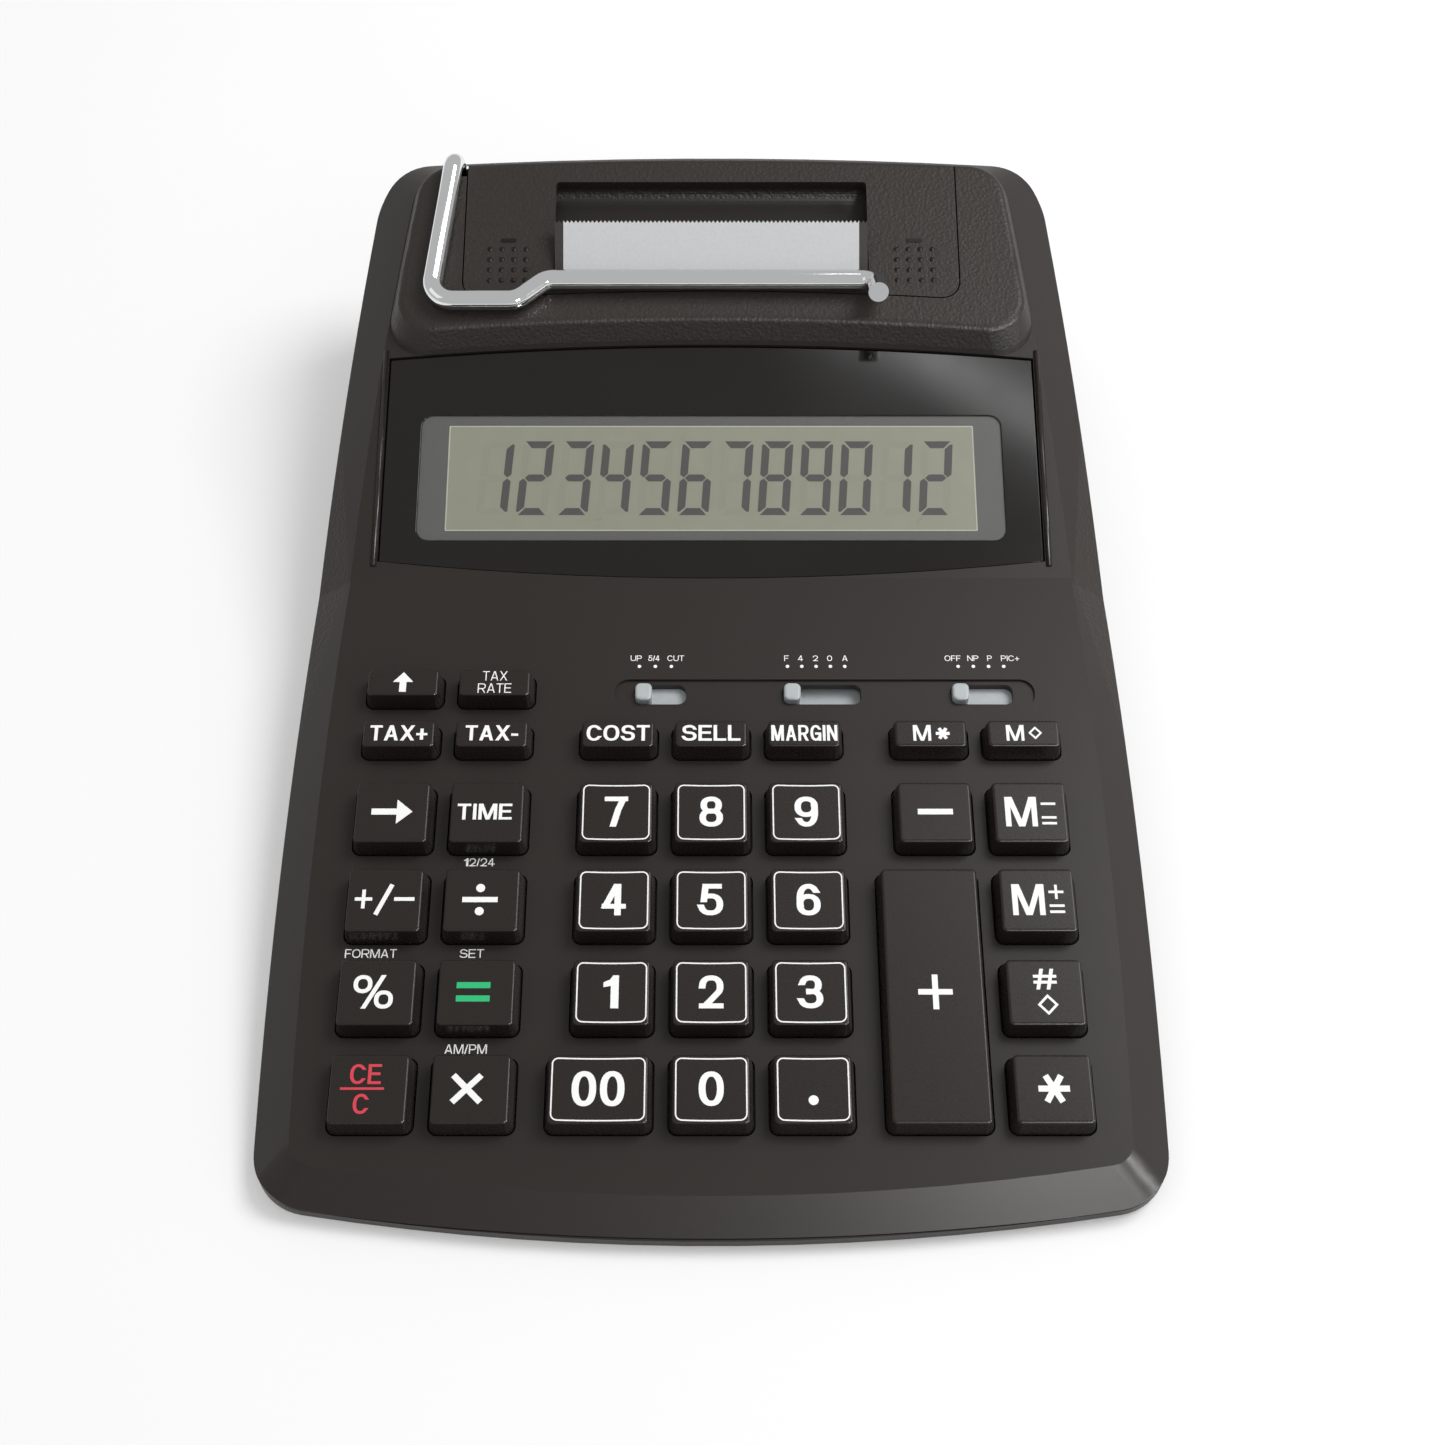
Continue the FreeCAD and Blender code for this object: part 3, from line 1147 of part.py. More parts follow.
TEAR_FOOT = size["housing_rise"] - size["tear_bar_sink"]
PAPER_RUN = size["tear_bar_height"]
BAY_FRONT = ROOF.Base.y + size["bay_front"]
BAY_HALF = size["cell_length"] + size["bay_play"]
BAY_REAR = BAY_FRONT + 2 * size["bay_wall"] + 2 * size["cell_diameter"] + 3 * size["bay_play"]
DOOR_PIVOT = Vector(
    0, BAY_REAR - size["bay_wall"] - size["fit"] - size["floor_thick"] / 2,
    size["foot_height"] + size["floor_thick"] / 2,
)
JACK_REAR = REAR - size["jack_x"] ** 2 / (2 * size["rear_bow"])
JACK_FRONT = JACK_REAR - size["wall"] - size["jack_depth"] - size["fit"]
SCREW_X = size["deck_width"] / 2 - size["boss_diameter"] / 2
SCREW_REAR_X = SCREW_X - size["boss_diameter"]
SCREW_REAR = REAR - size["screw_from_rear"]
SCREWS = [(-SCREW_X, 0), (SCREW_X, 0), (-SCREW_REAR_X, SCREW_REAR), (SCREW_REAR_X, SCREW_REAR)]
FOOT_X = size["outer_column"] + size["group_gap"]
FOOT_ENDS = (FRONT + size["foot_from_front"], REAR - size["foot_from_rear"])
FEET = [(side * FOOT_X, y) for side in (-1, 1) for y in FOOT_ENDS]
POST_X = size["outer_column"] - size["column_pitch"] / 2
POST_ROWS = (size["first_row"], size["row_c"], size["row_a"])
BOARD_POSTS = [(side * POST_X, v) for side in (-1, 1) for v in POST_ROWS]

KEYS = [make_key(*key) for key in key_list()]
make_upper_case()
make_lower_case()
make_screws()
make_feet()
make_display()
make_board_and_mat()
for switch in SWITCHES:
    make_switch(*switch)
make_cover()
make_tear_bar()
make_paper()
make_rollers()
make_printer_frame()
make_arm()
make_power()

NODES = [key[0] for key in key_list()] + [switch[0] for switch in SWITCHES] + [
    "upper_case", "lower_case", "case_screws", "rubber_feet", "display_lens", "lcd_frame", "lcd_panel",
    "main_board", "keypad_mat", "printer_cover", "tear_bar", "paper_strip", "feed_roller", "print_wheel",
    "ink_roller", "printer_motor", "motor_pinion", "printer_frame", "paper_arm", "battery_cells",
    "battery_door", "power_jack",
]
doc.recompute()
for item in doc.Objects:
    if "Invalid" in item.State or "Error" in item.State:
        raise RuntimeError(f"{item.Name} failed: {item.State}")
os.makedirs("parts", exist_ok=True)
for node in NODES:
    piece = doc.getObject(node)
    piece.Label = node
    if piece.Shape.isNull() or not piece.Shape.isValid():
        raise RuntimeError(f"{node} has no valid shape")
    piece.Shape.exportStep(f"parts/{node}.step")
    print(node, len(piece.Shape.Solids), round(piece.Shape.Volume, 1))
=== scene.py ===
# %% [markdown]
# A printing desk calculator: a sloped deck of keys, a raised display and a printer housing at the rear. The
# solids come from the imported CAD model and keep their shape. Blender adds what a mould, a printing plate and
# a plating bath would add: grain, legends, display digits and shine. Lengths on the calculator are written in
# millimetres; places in the room, such as those of the camera and the lamps, are in metres.

# %% Load the frame
import math

import bmesh
import bpy
from mathutils import Euler, Matrix, Vector


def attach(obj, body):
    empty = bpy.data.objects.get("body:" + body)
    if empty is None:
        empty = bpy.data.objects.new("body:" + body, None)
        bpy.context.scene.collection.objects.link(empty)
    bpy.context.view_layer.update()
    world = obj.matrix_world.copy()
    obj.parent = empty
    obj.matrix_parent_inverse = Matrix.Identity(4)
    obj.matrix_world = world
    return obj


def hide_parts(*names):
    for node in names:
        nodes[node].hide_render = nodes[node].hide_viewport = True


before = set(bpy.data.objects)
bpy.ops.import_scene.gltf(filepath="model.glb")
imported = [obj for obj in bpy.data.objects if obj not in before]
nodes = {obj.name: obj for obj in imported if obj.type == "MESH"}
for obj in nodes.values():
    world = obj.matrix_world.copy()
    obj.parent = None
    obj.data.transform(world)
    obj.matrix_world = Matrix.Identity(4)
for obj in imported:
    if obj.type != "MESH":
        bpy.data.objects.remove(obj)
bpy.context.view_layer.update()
scene = bpy.context.scene
scene.view_settings.view_transform = "Standard"
MM = 0.001
print("loaded", len(nodes), "nodes")

# %% [markdown]
# Two tilted planes carry almost everything: the key deck, and the roof with the display and the housing.
# Turning each piece by hand would repeat the tilt many times. Instead, each plane gets a matrix, so that a
# place can be written as "across, along, above" on that plane.

# %% Deck and roof planes
DECK_TILT = math.radians(6.0)
ROOF_TILT = math.radians(15.2)
DECK_EDGE = Vector((0, -100.783, 8.513))
ROOF_FOOT = Vector((0, 13.597, 20.535))
DECK = Matrix.Translation(DECK_EDGE * MM) @ Matrix.Rotation(DECK_TILT, 4, "X")
ROOF = Matrix.Translation(ROOF_FOOT * MM) @ Matrix.Rotation(ROOF_TILT, 4, "X")
print("planes tilted", round(math.degrees(DECK_TILT), 1), "and", round(math.degrees(ROOF_TILT), 1), "degrees")

# %% [markdown]
# The camera looks down at about 55 degrees through a normal lens, from above and in front of the calculator.
# Turning it sideways would make the case lean, so a small lens shift puts the calculator where the picture
# has it.

# %% Camera
camera_data = bpy.data.cameras.new("camera")
camera_data.lens = 50.0
camera_data.sensor_width = 36.0
camera_data.shift_x = 0.0078
camera = bpy.data.objects.new("camera", camera_data)
camera.location = (0, -0.2197, 0.3085)
camera.rotation_euler = Euler((math.radians(34.9), 0, 0))
scene.collection.objects.link(camera)
scene.camera = camera
print("camera with a lens of", camera_data.lens, "mm")


# %% [markdown]
# Materials are node trees. One helper turns a hex colour into the linear values that a shader needs, one adds
# a node with its settings and links, and one starts a material.

# %% Colours and nodes
def linear(hex_colour):
    """sRGB hex value as linear red, green, blue and alpha."""
    channels = []
    for start in (1, 3, 5):
        value = int(hex_colour[start:start + 2], 16) / 255
        channels.append(value / 12.92 if value <= 0.04045 else ((value + 0.055) / 1.055) ** 2.4)
    return (*channels, 1.0)


def add(tree, kind, settings):
    """Adds a node. A key is an input's name or number, or a property; a node or a socket is linked."""
    node = tree.nodes.new(kind)
    for key, value in settings.items():
        if isinstance(key, str) and key not in node.inputs:
            setattr(node, key, value)
            continue
        if isinstance(value, bpy.types.Node):
            value = value.outputs[0]
        if isinstance(value, bpy.types.NodeSocket):
            tree.links.new(value, node.inputs[key])
        else:
            node.inputs[key].default_value = value
    return node


def new_material(name, colour, roughness, **extra):
    """Principled material with plain values; patterns are linked afterwards."""
    material = bpy.data.materials.new(name)
    material.use_nodes = True
    shader = material.node_tree.nodes["Principled BSDF"]
    shader.inputs["Base Color"].default_value = linear(colour)
    shader.inputs["Roughness"].default_value = roughness
    for key, value in extra.items():
        shader.inputs[key.replace("_", " ")].default_value = value
    return material, material.node_tree, shader


# %% [markdown]
# Soft studio light: an even pale room, a broad panel high on the right, a low fill on the left, and a narrow
# strip that draws the soft streak on the display. Two small panels at the front right only make the bevel
# glint. They would bleach the display if they lit it too, so they are left out of diffuse light.

# %% Light
def panel(name, place, target, width, depth, power):
    """Flat lamp that faces a point, in metres and watts."""
    light = bpy.data.lights.new(name, "AREA")
    light.shape = "RECTANGLE"
    light.size = width
    light.size_y = depth
    light.energy = power
    lamp = bpy.data.objects.new(name, light)
    lamp.location = place
    lamp.rotation_euler = (Vector(target) - Vector(place)).to_track_quat("-Z", "Y").to_euler()
    scene.collection.objects.link(lamp)
    return lamp


panel("key_panel", (0.55, 0.22, 0.85), (0, 0, 0), 0.50, 0.50, 6.4)
right_panel = panel("right_panel", (0.72, -0.36, 0.40), (0.06, -0.1, 0.01), 0.16, 0.16, 7.0)
front_panel = panel("front_panel", (0.34, -0.76, 0.43), (0.06, -0.1, 0), 0.16, 0.16, 8.0)
for glint in (right_panel, front_panel):
    glint.visible_diffuse = False
panel("left_panel", (-0.75, -0.25, 0.65), (0, 0, 0.02), 0.60, 0.60, 0.5)
panel("strip_panel", (0.15, 0.25, 0.80), (0.04, 0.055, 0.03), 0.20, 0.02, 0.10)
print("lamps", len(bpy.data.lights))

# %% [markdown]
# The room and the floor. The room gives an even light of its own, and looks white where the camera sees it.
# The floor is a plain sheet of paper that takes the shadow. A white floor still renders a little grey, so a
# share of plain white is mixed in where the camera or a mirror looks at it, and nowhere else.

# %% Room and floor
ROOM_LIGHT = 0.54
FLOOR_REACH = 2.0
FLOOR_WHITE = 0.24
WHITE = (1, 1, 1, 1)
world = bpy.data.worlds.new("studio")
world.use_nodes = True
scene.world = world
room_tree = world.node_tree
room = room_tree.nodes["Background"]
room.inputs["Color"].default_value = WHITE
looked_at = add(room_tree, "ShaderNodeLightPath", {}).outputs["Is Camera Ray"]
brightness = add(room_tree, "ShaderNodeMath", {"operation": "MAXIMUM", 0: looked_at, 1: ROOM_LIGHT})
room_tree.links.new(brightness.outputs[0], room.inputs["Strength"])

floor_mesh = bpy.data.meshes.new("floor")
corners = [(x * FLOOR_REACH, y * FLOOR_REACH, 0) for x, y in ((-1, -1), (1, -1), (1, 1), (-1, 1))]
floor_mesh.from_pydata(corners, [], [(0, 1, 2, 3)])
floor = bpy.data.objects.new("floor", floor_mesh)
scene.collection.objects.link(floor)
floor_paper, floor_tree, floor_shader = new_material("floor_paper", "#FDFDFD", 0.9)
ray = add(floor_tree, "ShaderNodeLightPath", {}).outputs
direct = add(floor_tree, "ShaderNodeMath",
             {"operation": "MAXIMUM", 0: ray["Is Camera Ray"], 1: ray["Is Glossy Ray"]})
share = add(floor_tree, "ShaderNodeMath", {"operation": "MULTIPLY", 0: direct, 1: FLOOR_WHITE})
glow = add(floor_tree, "ShaderNodeEmission", {"Color": WHITE, "Strength": 1.0})
blend = add(floor_tree, "ShaderNodeMixShader", {0: share, 1: floor_shader, 2: glow})
floor_tree.links.new(blend.outputs["Shader"], floor_tree.nodes["Material Output"].inputs["Surface"])
floor_mesh.materials.append(floor_paper)
print("floor of", 2 * FLOOR_REACH, "m")


# %% [markdown]
# The case is injection-moulded ABS. The tool is etched with a fine leather grain on the bevels and on the
# housing, and left satin on the deck and the display roof. Two materials would need the faces sorted by hand.
# One material does both: it measures how far a point lies from the deck and roof planes, and adds the grain
# everywhere else. To the eye, the grain breaks a lamp's glint into sparkle.

# %% Where the case is etched
LIP_TOP = 4.6
HOUSING_FRONT = 56.0
BELOW_PLANE = -0.25
ABOVE_ROOF = 0.9


def plane_height(tree, position, origin, tilt):
    """Distance of a point above a tilted plane, in metres."""
    moved = add(tree, "ShaderNodeVectorMath", {"operation": "SUBTRACT", 0: position, 1: origin * MM})
    normal = (0, -math.sin(tilt), math.cos(tilt))
    dot = add(tree, "ShaderNodeVectorMath", {"operation": "DOT_PRODUCT", 0: moved, 1: normal})
    return dot.outputs["Value"]


def grain_mask(tree, position):
    """1 on the etched faces, 0 on the satin deck and roof."""
    deck = plane_height(tree, position, DECK_EDGE, DECK_TILT)
    roof = plane_height(tree, position, ROOF_FOOT, ROOF_TILT)
    place = add(tree, "ShaderNodeSeparateXYZ", {0: position}).outputs
    under_deck = add(tree, "ShaderNodeMath", {"operation": "LESS_THAN", 0: deck, 1: BELOW_PLANE * MM})
    under_roof = add(tree, "ShaderNodeMath", {"operation": "LESS_THAN", 0: roof, 1: BELOW_PLANE * MM})
    above_lip = add(tree, "ShaderNodeMath", {"operation": "GREATER_THAN", 0: place["Z"], 1: LIP_TOP * MM})
    raised = add(tree, "ShaderNodeMath", {"operation": "GREATER_THAN", 0: roof, 1: ABOVE_ROOF * MM})
    behind = add(tree, "ShaderNodeMath", {"operation": "GREATER_THAN", 0: place["Y"], 1: HOUSING_FRONT * MM})
    below = add(tree, "ShaderNodeMath", {"operation": "MULTIPLY", 0: under_deck, 1: under_roof})
    bevel = add(tree, "ShaderNodeMath", {"operation": "MULTIPLY", 0: below, 1: above_lip})
    housing = add(tree, "ShaderNodeMath", {"operation": "MULTIPLY", 0: raised, 1: behind})
    return add(tree, "ShaderNodeMath", {"operation": "MAXIMUM", 0: bevel, 1: housing})


# %% Case plastic
ABS_IOR = 1.53
GRAIN_WIDTH = 0.7
SPECKLE_WIDTH = 0.45
CLOUD_WIDTH = 30.0


def moulded_abs(name, colour, light_colour, grain_depth):
    """Moulded ABS with an etched grain, drawn at 0.7 mm so that it is coarse enough to show."""
    material, tree, shader = new_material(name, colour, 0.5, IOR=ABS_IOR, Specular_IOR_Level=0.25)
    position = add(tree, "ShaderNodeTexCoord", {}).outputs["Object"]
    mask = grain_mask(tree, position)
    cells = add(tree, "ShaderNodeTexVoronoi", {"Scale": 1 / (GRAIN_WIDTH * MM), "Vector": position})
    speckle = add(tree, "ShaderNodeTexNoise",
                  {"Scale": 1 / (SPECKLE_WIDTH * MM), "Detail": 2.0, "Vector": position})
    cloud = add(tree, "ShaderNodeTexNoise",
                {"Scale": 1 / (CLOUD_WIDTH * MM), "Detail": 2.0, "Vector": position})
    height = add(tree, "ShaderNodeMath", {"operation": "MULTIPLY_ADD", 0: speckle, 1: 0.8, 2: cells})
    grain = add(tree, "ShaderNodeMath", {"operation": "MULTIPLY", 0: height, 1: mask})
    relief = add(tree, "ShaderNodeMath", {"operation": "MULTIPLY_ADD", 0: speckle, 1: 0.06, 2: grain})
    bump = add(tree, "ShaderNodeBump", {"Strength": 0.55, "Distance": grain_depth * MM, "Height": relief})
    spots = add(tree, "ShaderNodeMath", {"operation": "MULTIPLY", 0: speckle, 1: mask})
    drift = add(tree, "ShaderNodeMath", {"operation": "MULTIPLY", 0: cloud, 1: 0.12})
    tone = add(tree, "ShaderNodeMath", {"operation": "MULTIPLY_ADD", 0: spots, 1: 0.55, 2: drift})
    mix = add(tree, "ShaderNodeMixRGB",
              {"Fac": tone, "Color1": linear(colour), "Color2": linear(light_colour)})
    etched = add(tree, "ShaderNodeMath", {"operation": "MULTIPLY_ADD", 0: mask, 1: 0.04, 2: 0.34})
    rough = add(tree, "ShaderNodeMath", {"operation": "MULTIPLY_ADD", 0: speckle, 1: 0.10, 2: etched})
    for source, target in ((bump, "Normal"), (mix, "Base Color"), (rough, "Roughness")):
        tree.links.new(source.outputs[0], shader.inputs[target])
    return material


case_plastic = moulded_abs("grained_abs_case", "#26211E", "#3A3430", 0.10)
print("made", case_plastic.name)


# %% [markdown]
# The other mouldings are smooth. A flat colour would look like paint on a screen, so each has a faint relief,
# a slight drift in tone and an uneven shine, all from one noise whose width is given in millimetres. Keys are
# satin ABS with a soft shine, knobs are cloudy acetal, and rubber is almost matt.

# %% Smooth mouldings
def satin_abs(name, colour, roughness, grain_width, depth, shine=0.5):
    """Smooth moulding with a faint even texture and slight colour drift."""
    material, tree, shader = new_material(name, colour, roughness, IOR=ABS_IOR, Specular_IOR_Level=shine)
    position = add(tree, "ShaderNodeTexCoord", {}).outputs["Object"]
    speckle = add(tree, "ShaderNodeTexNoise",
                  {"Scale": 1 / (grain_width * MM), "Detail": 3.0, "Vector": position})
    bump = add(tree, "ShaderNodeBump", {"Strength": 0.35, "Distance": depth * MM, "Height": speckle})
    rough = add(tree, "ShaderNodeMath",
                {"operation": "MULTIPLY_ADD", 0: speckle, 1: 0.12, 2: roughness - 0.06})
    drift = add(tree, "ShaderNodeMath", {"operation": "MULTIPLY_ADD", 0: speckle, 1: 0.16, 2: 0.92})
    tone = add(tree, "ShaderNodeHueSaturation", {"Color": linear(colour), "Value": drift})
    for source, target in ((bump, "Normal"), (rough, "Roughness"), (tone, "Base Color")):
        tree.links.new(source.outputs[0], shader.inputs[target])
    return material


key_plastic = satin_abs("satin_abs_keys", "#26211E", 0.28, 0.3, 0.001, 0.25)
switch_plastic = satin_abs("satin_acetal_knobs", "#B3B9BB", 0.40, 0.8, 0.01)
surround_plastic = satin_abs("satin_grey_surround", "#4F5050", 0.45, 0.6, 0.01)
black_plastic = satin_abs("black_moulded_plastic", "#141313", 0.45, 0.8, 0.01)
gear_plastic = satin_abs("natural_acetal_gears", "#DAD6C6", 0.35, 0.8, 0.01)
rubber = satin_abs("moulded_rubber", "#171717", 0.75, 0.5, 0.02)
board_laminate = satin_abs("circuit_board_laminate", "#1F4D2B", 0.35, 0.9, 0.005)
cell_wrap = satin_abs("printed_cell_wrap", "#4A4B4E", 0.35, 2.0, 0.005)
paper_stock = satin_abs("uncoated_paper", "#DCDAD5", 0.85, 0.35, 0.02)
frosted_plate = satin_abs("frosted_tear_plate", "#CBCCCD", 0.40, 0.5, 0.005)
print("smooth mouldings made")

# %% [markdown]
# The tear plate is frosted acrylic, pale where the paper runs behind it. Its two ends lie over dark plastic
# and look dark. Cutting the plate in three would show seams, so its colour changes at a distance from the
# middle instead.

# %% Dark ends of the tear plate
PALE_HALF = 28.4
plate_tree = frosted_plate.node_tree
plate_colour = plate_tree.nodes["Principled BSDF"].inputs["Base Color"]
plate_place = add(plate_tree, "ShaderNodeTexCoord", {}).outputs["Object"]
across_plate = add(plate_tree, "ShaderNodeSeparateXYZ", {0: plate_place}).outputs["X"]
from_middle = add(plate_tree, "ShaderNodeMath", {"operation": "ABSOLUTE", 0: across_plate})
at_end = add(plate_tree, "ShaderNodeMath", {"operation": "GREATER_THAN", 0: from_middle, 1: PALE_HALF * MM})
plate_mix = add(plate_tree, "ShaderNodeMixRGB",
                {"Fac": at_end, "Color1": plate_colour.links[0].from_socket, "Color2": linear("#2A2522")})
plate_tree.links.new(plate_mix.outputs["Color"], plate_colour)
print("tear plate is pale over", 2 * PALE_HALF, "mm")


# %% [markdown]
# Metals keep the default index of refraction. The arm is bent steel wire with bright chrome plating, which
# mirrors the room. The motor and screws are plain brushed steel, and the printer's plates are blackened
# steel, which stays dull. The streaks of the brush are a noise that is stretched along one axis.

# %% Metals
def metal(name, colour, roughness, streak_width):
    """Bare or plated metal with faint streaks in its shine."""
    material, tree, shader = new_material(name, colour, roughness, Metallic=1.0)
    position = add(tree, "ShaderNodeTexCoord", {}).outputs["Object"]
    stretch = add(tree, "ShaderNodeMapping", {"Scale": (0.1, 1.0, 1.0), "Vector": position})
    streaks = add(tree, "ShaderNodeTexNoise",
                  {"Scale": 1 / (streak_width * MM), "Detail": 3.0, "Vector": stretch})
    rough = add(tree, "ShaderNodeMath",
                {"operation": "MULTIPLY_ADD", 0: streaks, 1: 0.06, 2: roughness - 0.03})
    tree.links.new(rough.outputs[0], shader.inputs["Roughness"])
    return material


chrome_wire = metal("bright_chrome_wire", "#E6E7E8", 0.06, 3.0)
plain_steel = metal("brushed_steel_plate", "#A3A4A6", 0.32, 0.3)
black_oxide = metal("black_oxide_steel_plate", "#1D1A18", 0.55, 0.3)
print("metals made")

# %% [markdown]
# Every solid of the frame gets its finish by name. Keys and switches are found by the way their names start
# or end, so that the list stays short.

# %% Give every solid its material
FINISH = {
    "upper_case": case_plastic, "lower_case": case_plastic, "printer_cover": case_plastic,
    "battery_door": case_plastic, "case_screws": plain_steel, "rubber_feet": rubber,
    "lcd_frame": surround_plastic, "main_board": board_laminate, "keypad_mat": rubber,
    "tear_bar": frosted_plate, "paper_strip": paper_stock, "feed_roller": rubber,
    "print_wheel": black_plastic, "ink_roller": rubber, "printer_motor": plain_steel,
    "motor_pinion": gear_plastic, "printer_frame": black_oxide, "paper_arm": chrome_wire,
    "battery_cells": cell_wrap, "power_jack": black_plastic,
}
finished = 0
for name, node in nodes.items():
    finish = FINISH.get(name)
    if name.startswith("key_"):
        finish = key_plastic
    if name.endswith("_switch"):
        finish = switch_plastic
    if finish:
        node.data.materials.clear()
        node.data.materials.append(finish)
        finished += 1
print("solids finished", finished)


# %% [markdown]
# Legends are printed. An image would blur from near, so each legend is a film of ink a few hundredths of a
# millimetre thick, drawn from strokes, strips and rings, and it rides on its own key. Ink is nearly matt, and
# its shine varies a little where it lies thicker. Strokes that cross lie on slightly different levels, so
# that no two faces share a plane.

# %% Ink
FILM = 0.04
LAYER = 0.002
INK_SINK = 0.01
INK_CLOUD = 0.8


def ink(name, colour):
    """Screen ink: nearly matt, with a slightly uneven density."""
    material, tree, shader = new_material(name, colour, 0.5)
    position = add(tree, "ShaderNodeTexCoord", {}).outputs["Object"]
    density = add(tree, "ShaderNodeTexNoise",
                  {"Scale": 1 / (INK_CLOUD * MM), "Detail": 2.0, "Vector": position})
    rough = add(tree, "ShaderNodeMath", {"operation": "MULTIPLY_ADD", 0: density, 1: 0.2, 2: 0.4})
    tree.links.new(rough.outputs[0], shader.inputs["Roughness"])
    return material


white_ink = ink("white_ink", "#FCFCFB")
green_ink = ink("green_ink", "#14BE76")
red_ink = ink("red_ink", "#D8384A")
print("inks made")


# %% Outlines
def strip(x, y, width, height, turn=0.0):
    """Corners of a bar about a centre."""
    c, s = math.cos(math.radians(turn)), math.sin(math.radians(turn))
    signs = ((-1, -1), (1, -1), (1, 1), (-1, 1))
    corners = [(a * width / 2, b * height / 2) for a, b in signs]
    return [(x + a * c - b * s, y + a * s + b * c) for a, b in corners]


def disc(x, y, width, count=20):
    """Points of a circle, counter-clockwise."""
    angles = [2 * math.pi * index / count for index in range(count)]
    return [(x + width / 2 * math.cos(angle), y + width / 2 * math.sin(angle)) for angle in angles]


def rounded(width, height, radius, x=0.0, y=0.0, count=6):
    """Points of a rounded rectangle, counter-clockwise."""
    points = []
    for sx, sy, start in ((1, -1, -90), (1, 1, 0), (-1, 1, 90), (-1, -1, 180)):
        for index in range(count + 1):
            angle = math.radians(start + 90 * index / count)
            points.append((x + sx * (width / 2 - radius) + radius * math.cos(angle),
                           y + sy * (height / 2 - radius) + radius * math.sin(angle)))
    return points


# %% Films
def prism(bm, outline, bottom, top):
    """Closed prism over an outline of points, counter-clockwise."""
    low = [bm.verts.new((x, y, bottom)) for x, y in outline]
    high = [bm.verts.new((x, y, top)) for x, y in outline]
    bm.faces.new(list(reversed(low)))
    bm.faces.new(high)
    for index in range(len(outline)):
        after = (index + 1) % len(outline)
        bm.faces.new((low[index], low[after], high[after], high[index]))


def band(bm, outer, inner, bottom, top):
    """Closed ring between two outlines with the same number of points."""
    count = len(outer)
    rings = [[bm.verts.new((x, y, z)) for x, y in outline] for outline, z in
             ((outer, bottom), (outer, top), (inner, top), (inner, bottom))]
    for a, b in zip(rings, rings[1:] + rings[:1]):
        for index in range(count):
            after = (index + 1) % count
            bm.faces.new((a[index], a[after], b[after], b[index]))


def finish_piece(name, bm, plane, material, body):
    """Turns a drawing in millimetres on a plane into a piece that rides on a body."""
    bmesh.ops.remove_doubles(bm, verts=bm.verts, dist=0.0005)
    bmesh.ops.recalc_face_normals(bm, faces=bm.faces)
    mesh = bpy.data.meshes.new(name)
    bm.to_mesh(mesh)
    bm.free()
    mesh.transform(plane @ Matrix.Scale(MM, 4))
    mesh.materials.append(material)
    piece = bpy.data.objects.new(name, mesh)
    scene.collection.objects.link(piece)
    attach(piece, body)
    return piece


# %% [markdown]
# The lettering is a bold grotesque. A font file would do it, but the built-in one has the wrong shapes, so
# each letter is a few strokes in a unit box, drawn by a pen that is wider than it is tall. Upright strokes
# then come out heavier than level ones. Stroke ends are cut level or plumb. A pen is given as its width and
# height in letter heights, and a letter as its width and its strokes.

# %% Letters
BOLD = (0.192, 0.150)
MEDIUM = (0.165, 0.140)
NARROW = (0.155, 0.140)
SIGN = (0.125, 0.115)
LIGHT = (0.095, 0.090)
LETTER_GAP = 0.10
SQUARENESS = 0.87


def arc(x, y, half_width, half_height, start, end, count=14):
    """Points along a slightly squared round, the curve of a grotesque letter."""
    points = []
    for index in range(count + 1):
        angle = math.radians(start + (end - start) * index / count)
        c, s = math.cos(angle), math.sin(angle)
        points.append((x + half_width * math.copysign(abs(c) ** SQUARENESS, c),
                       y + half_height * math.copysign(abs(s) ** SQUARENESS, s)))
    return points


def loop(x, y, half_width, half_height):
    return arc(x, y, half_width, half_height, 0, 360, 28)


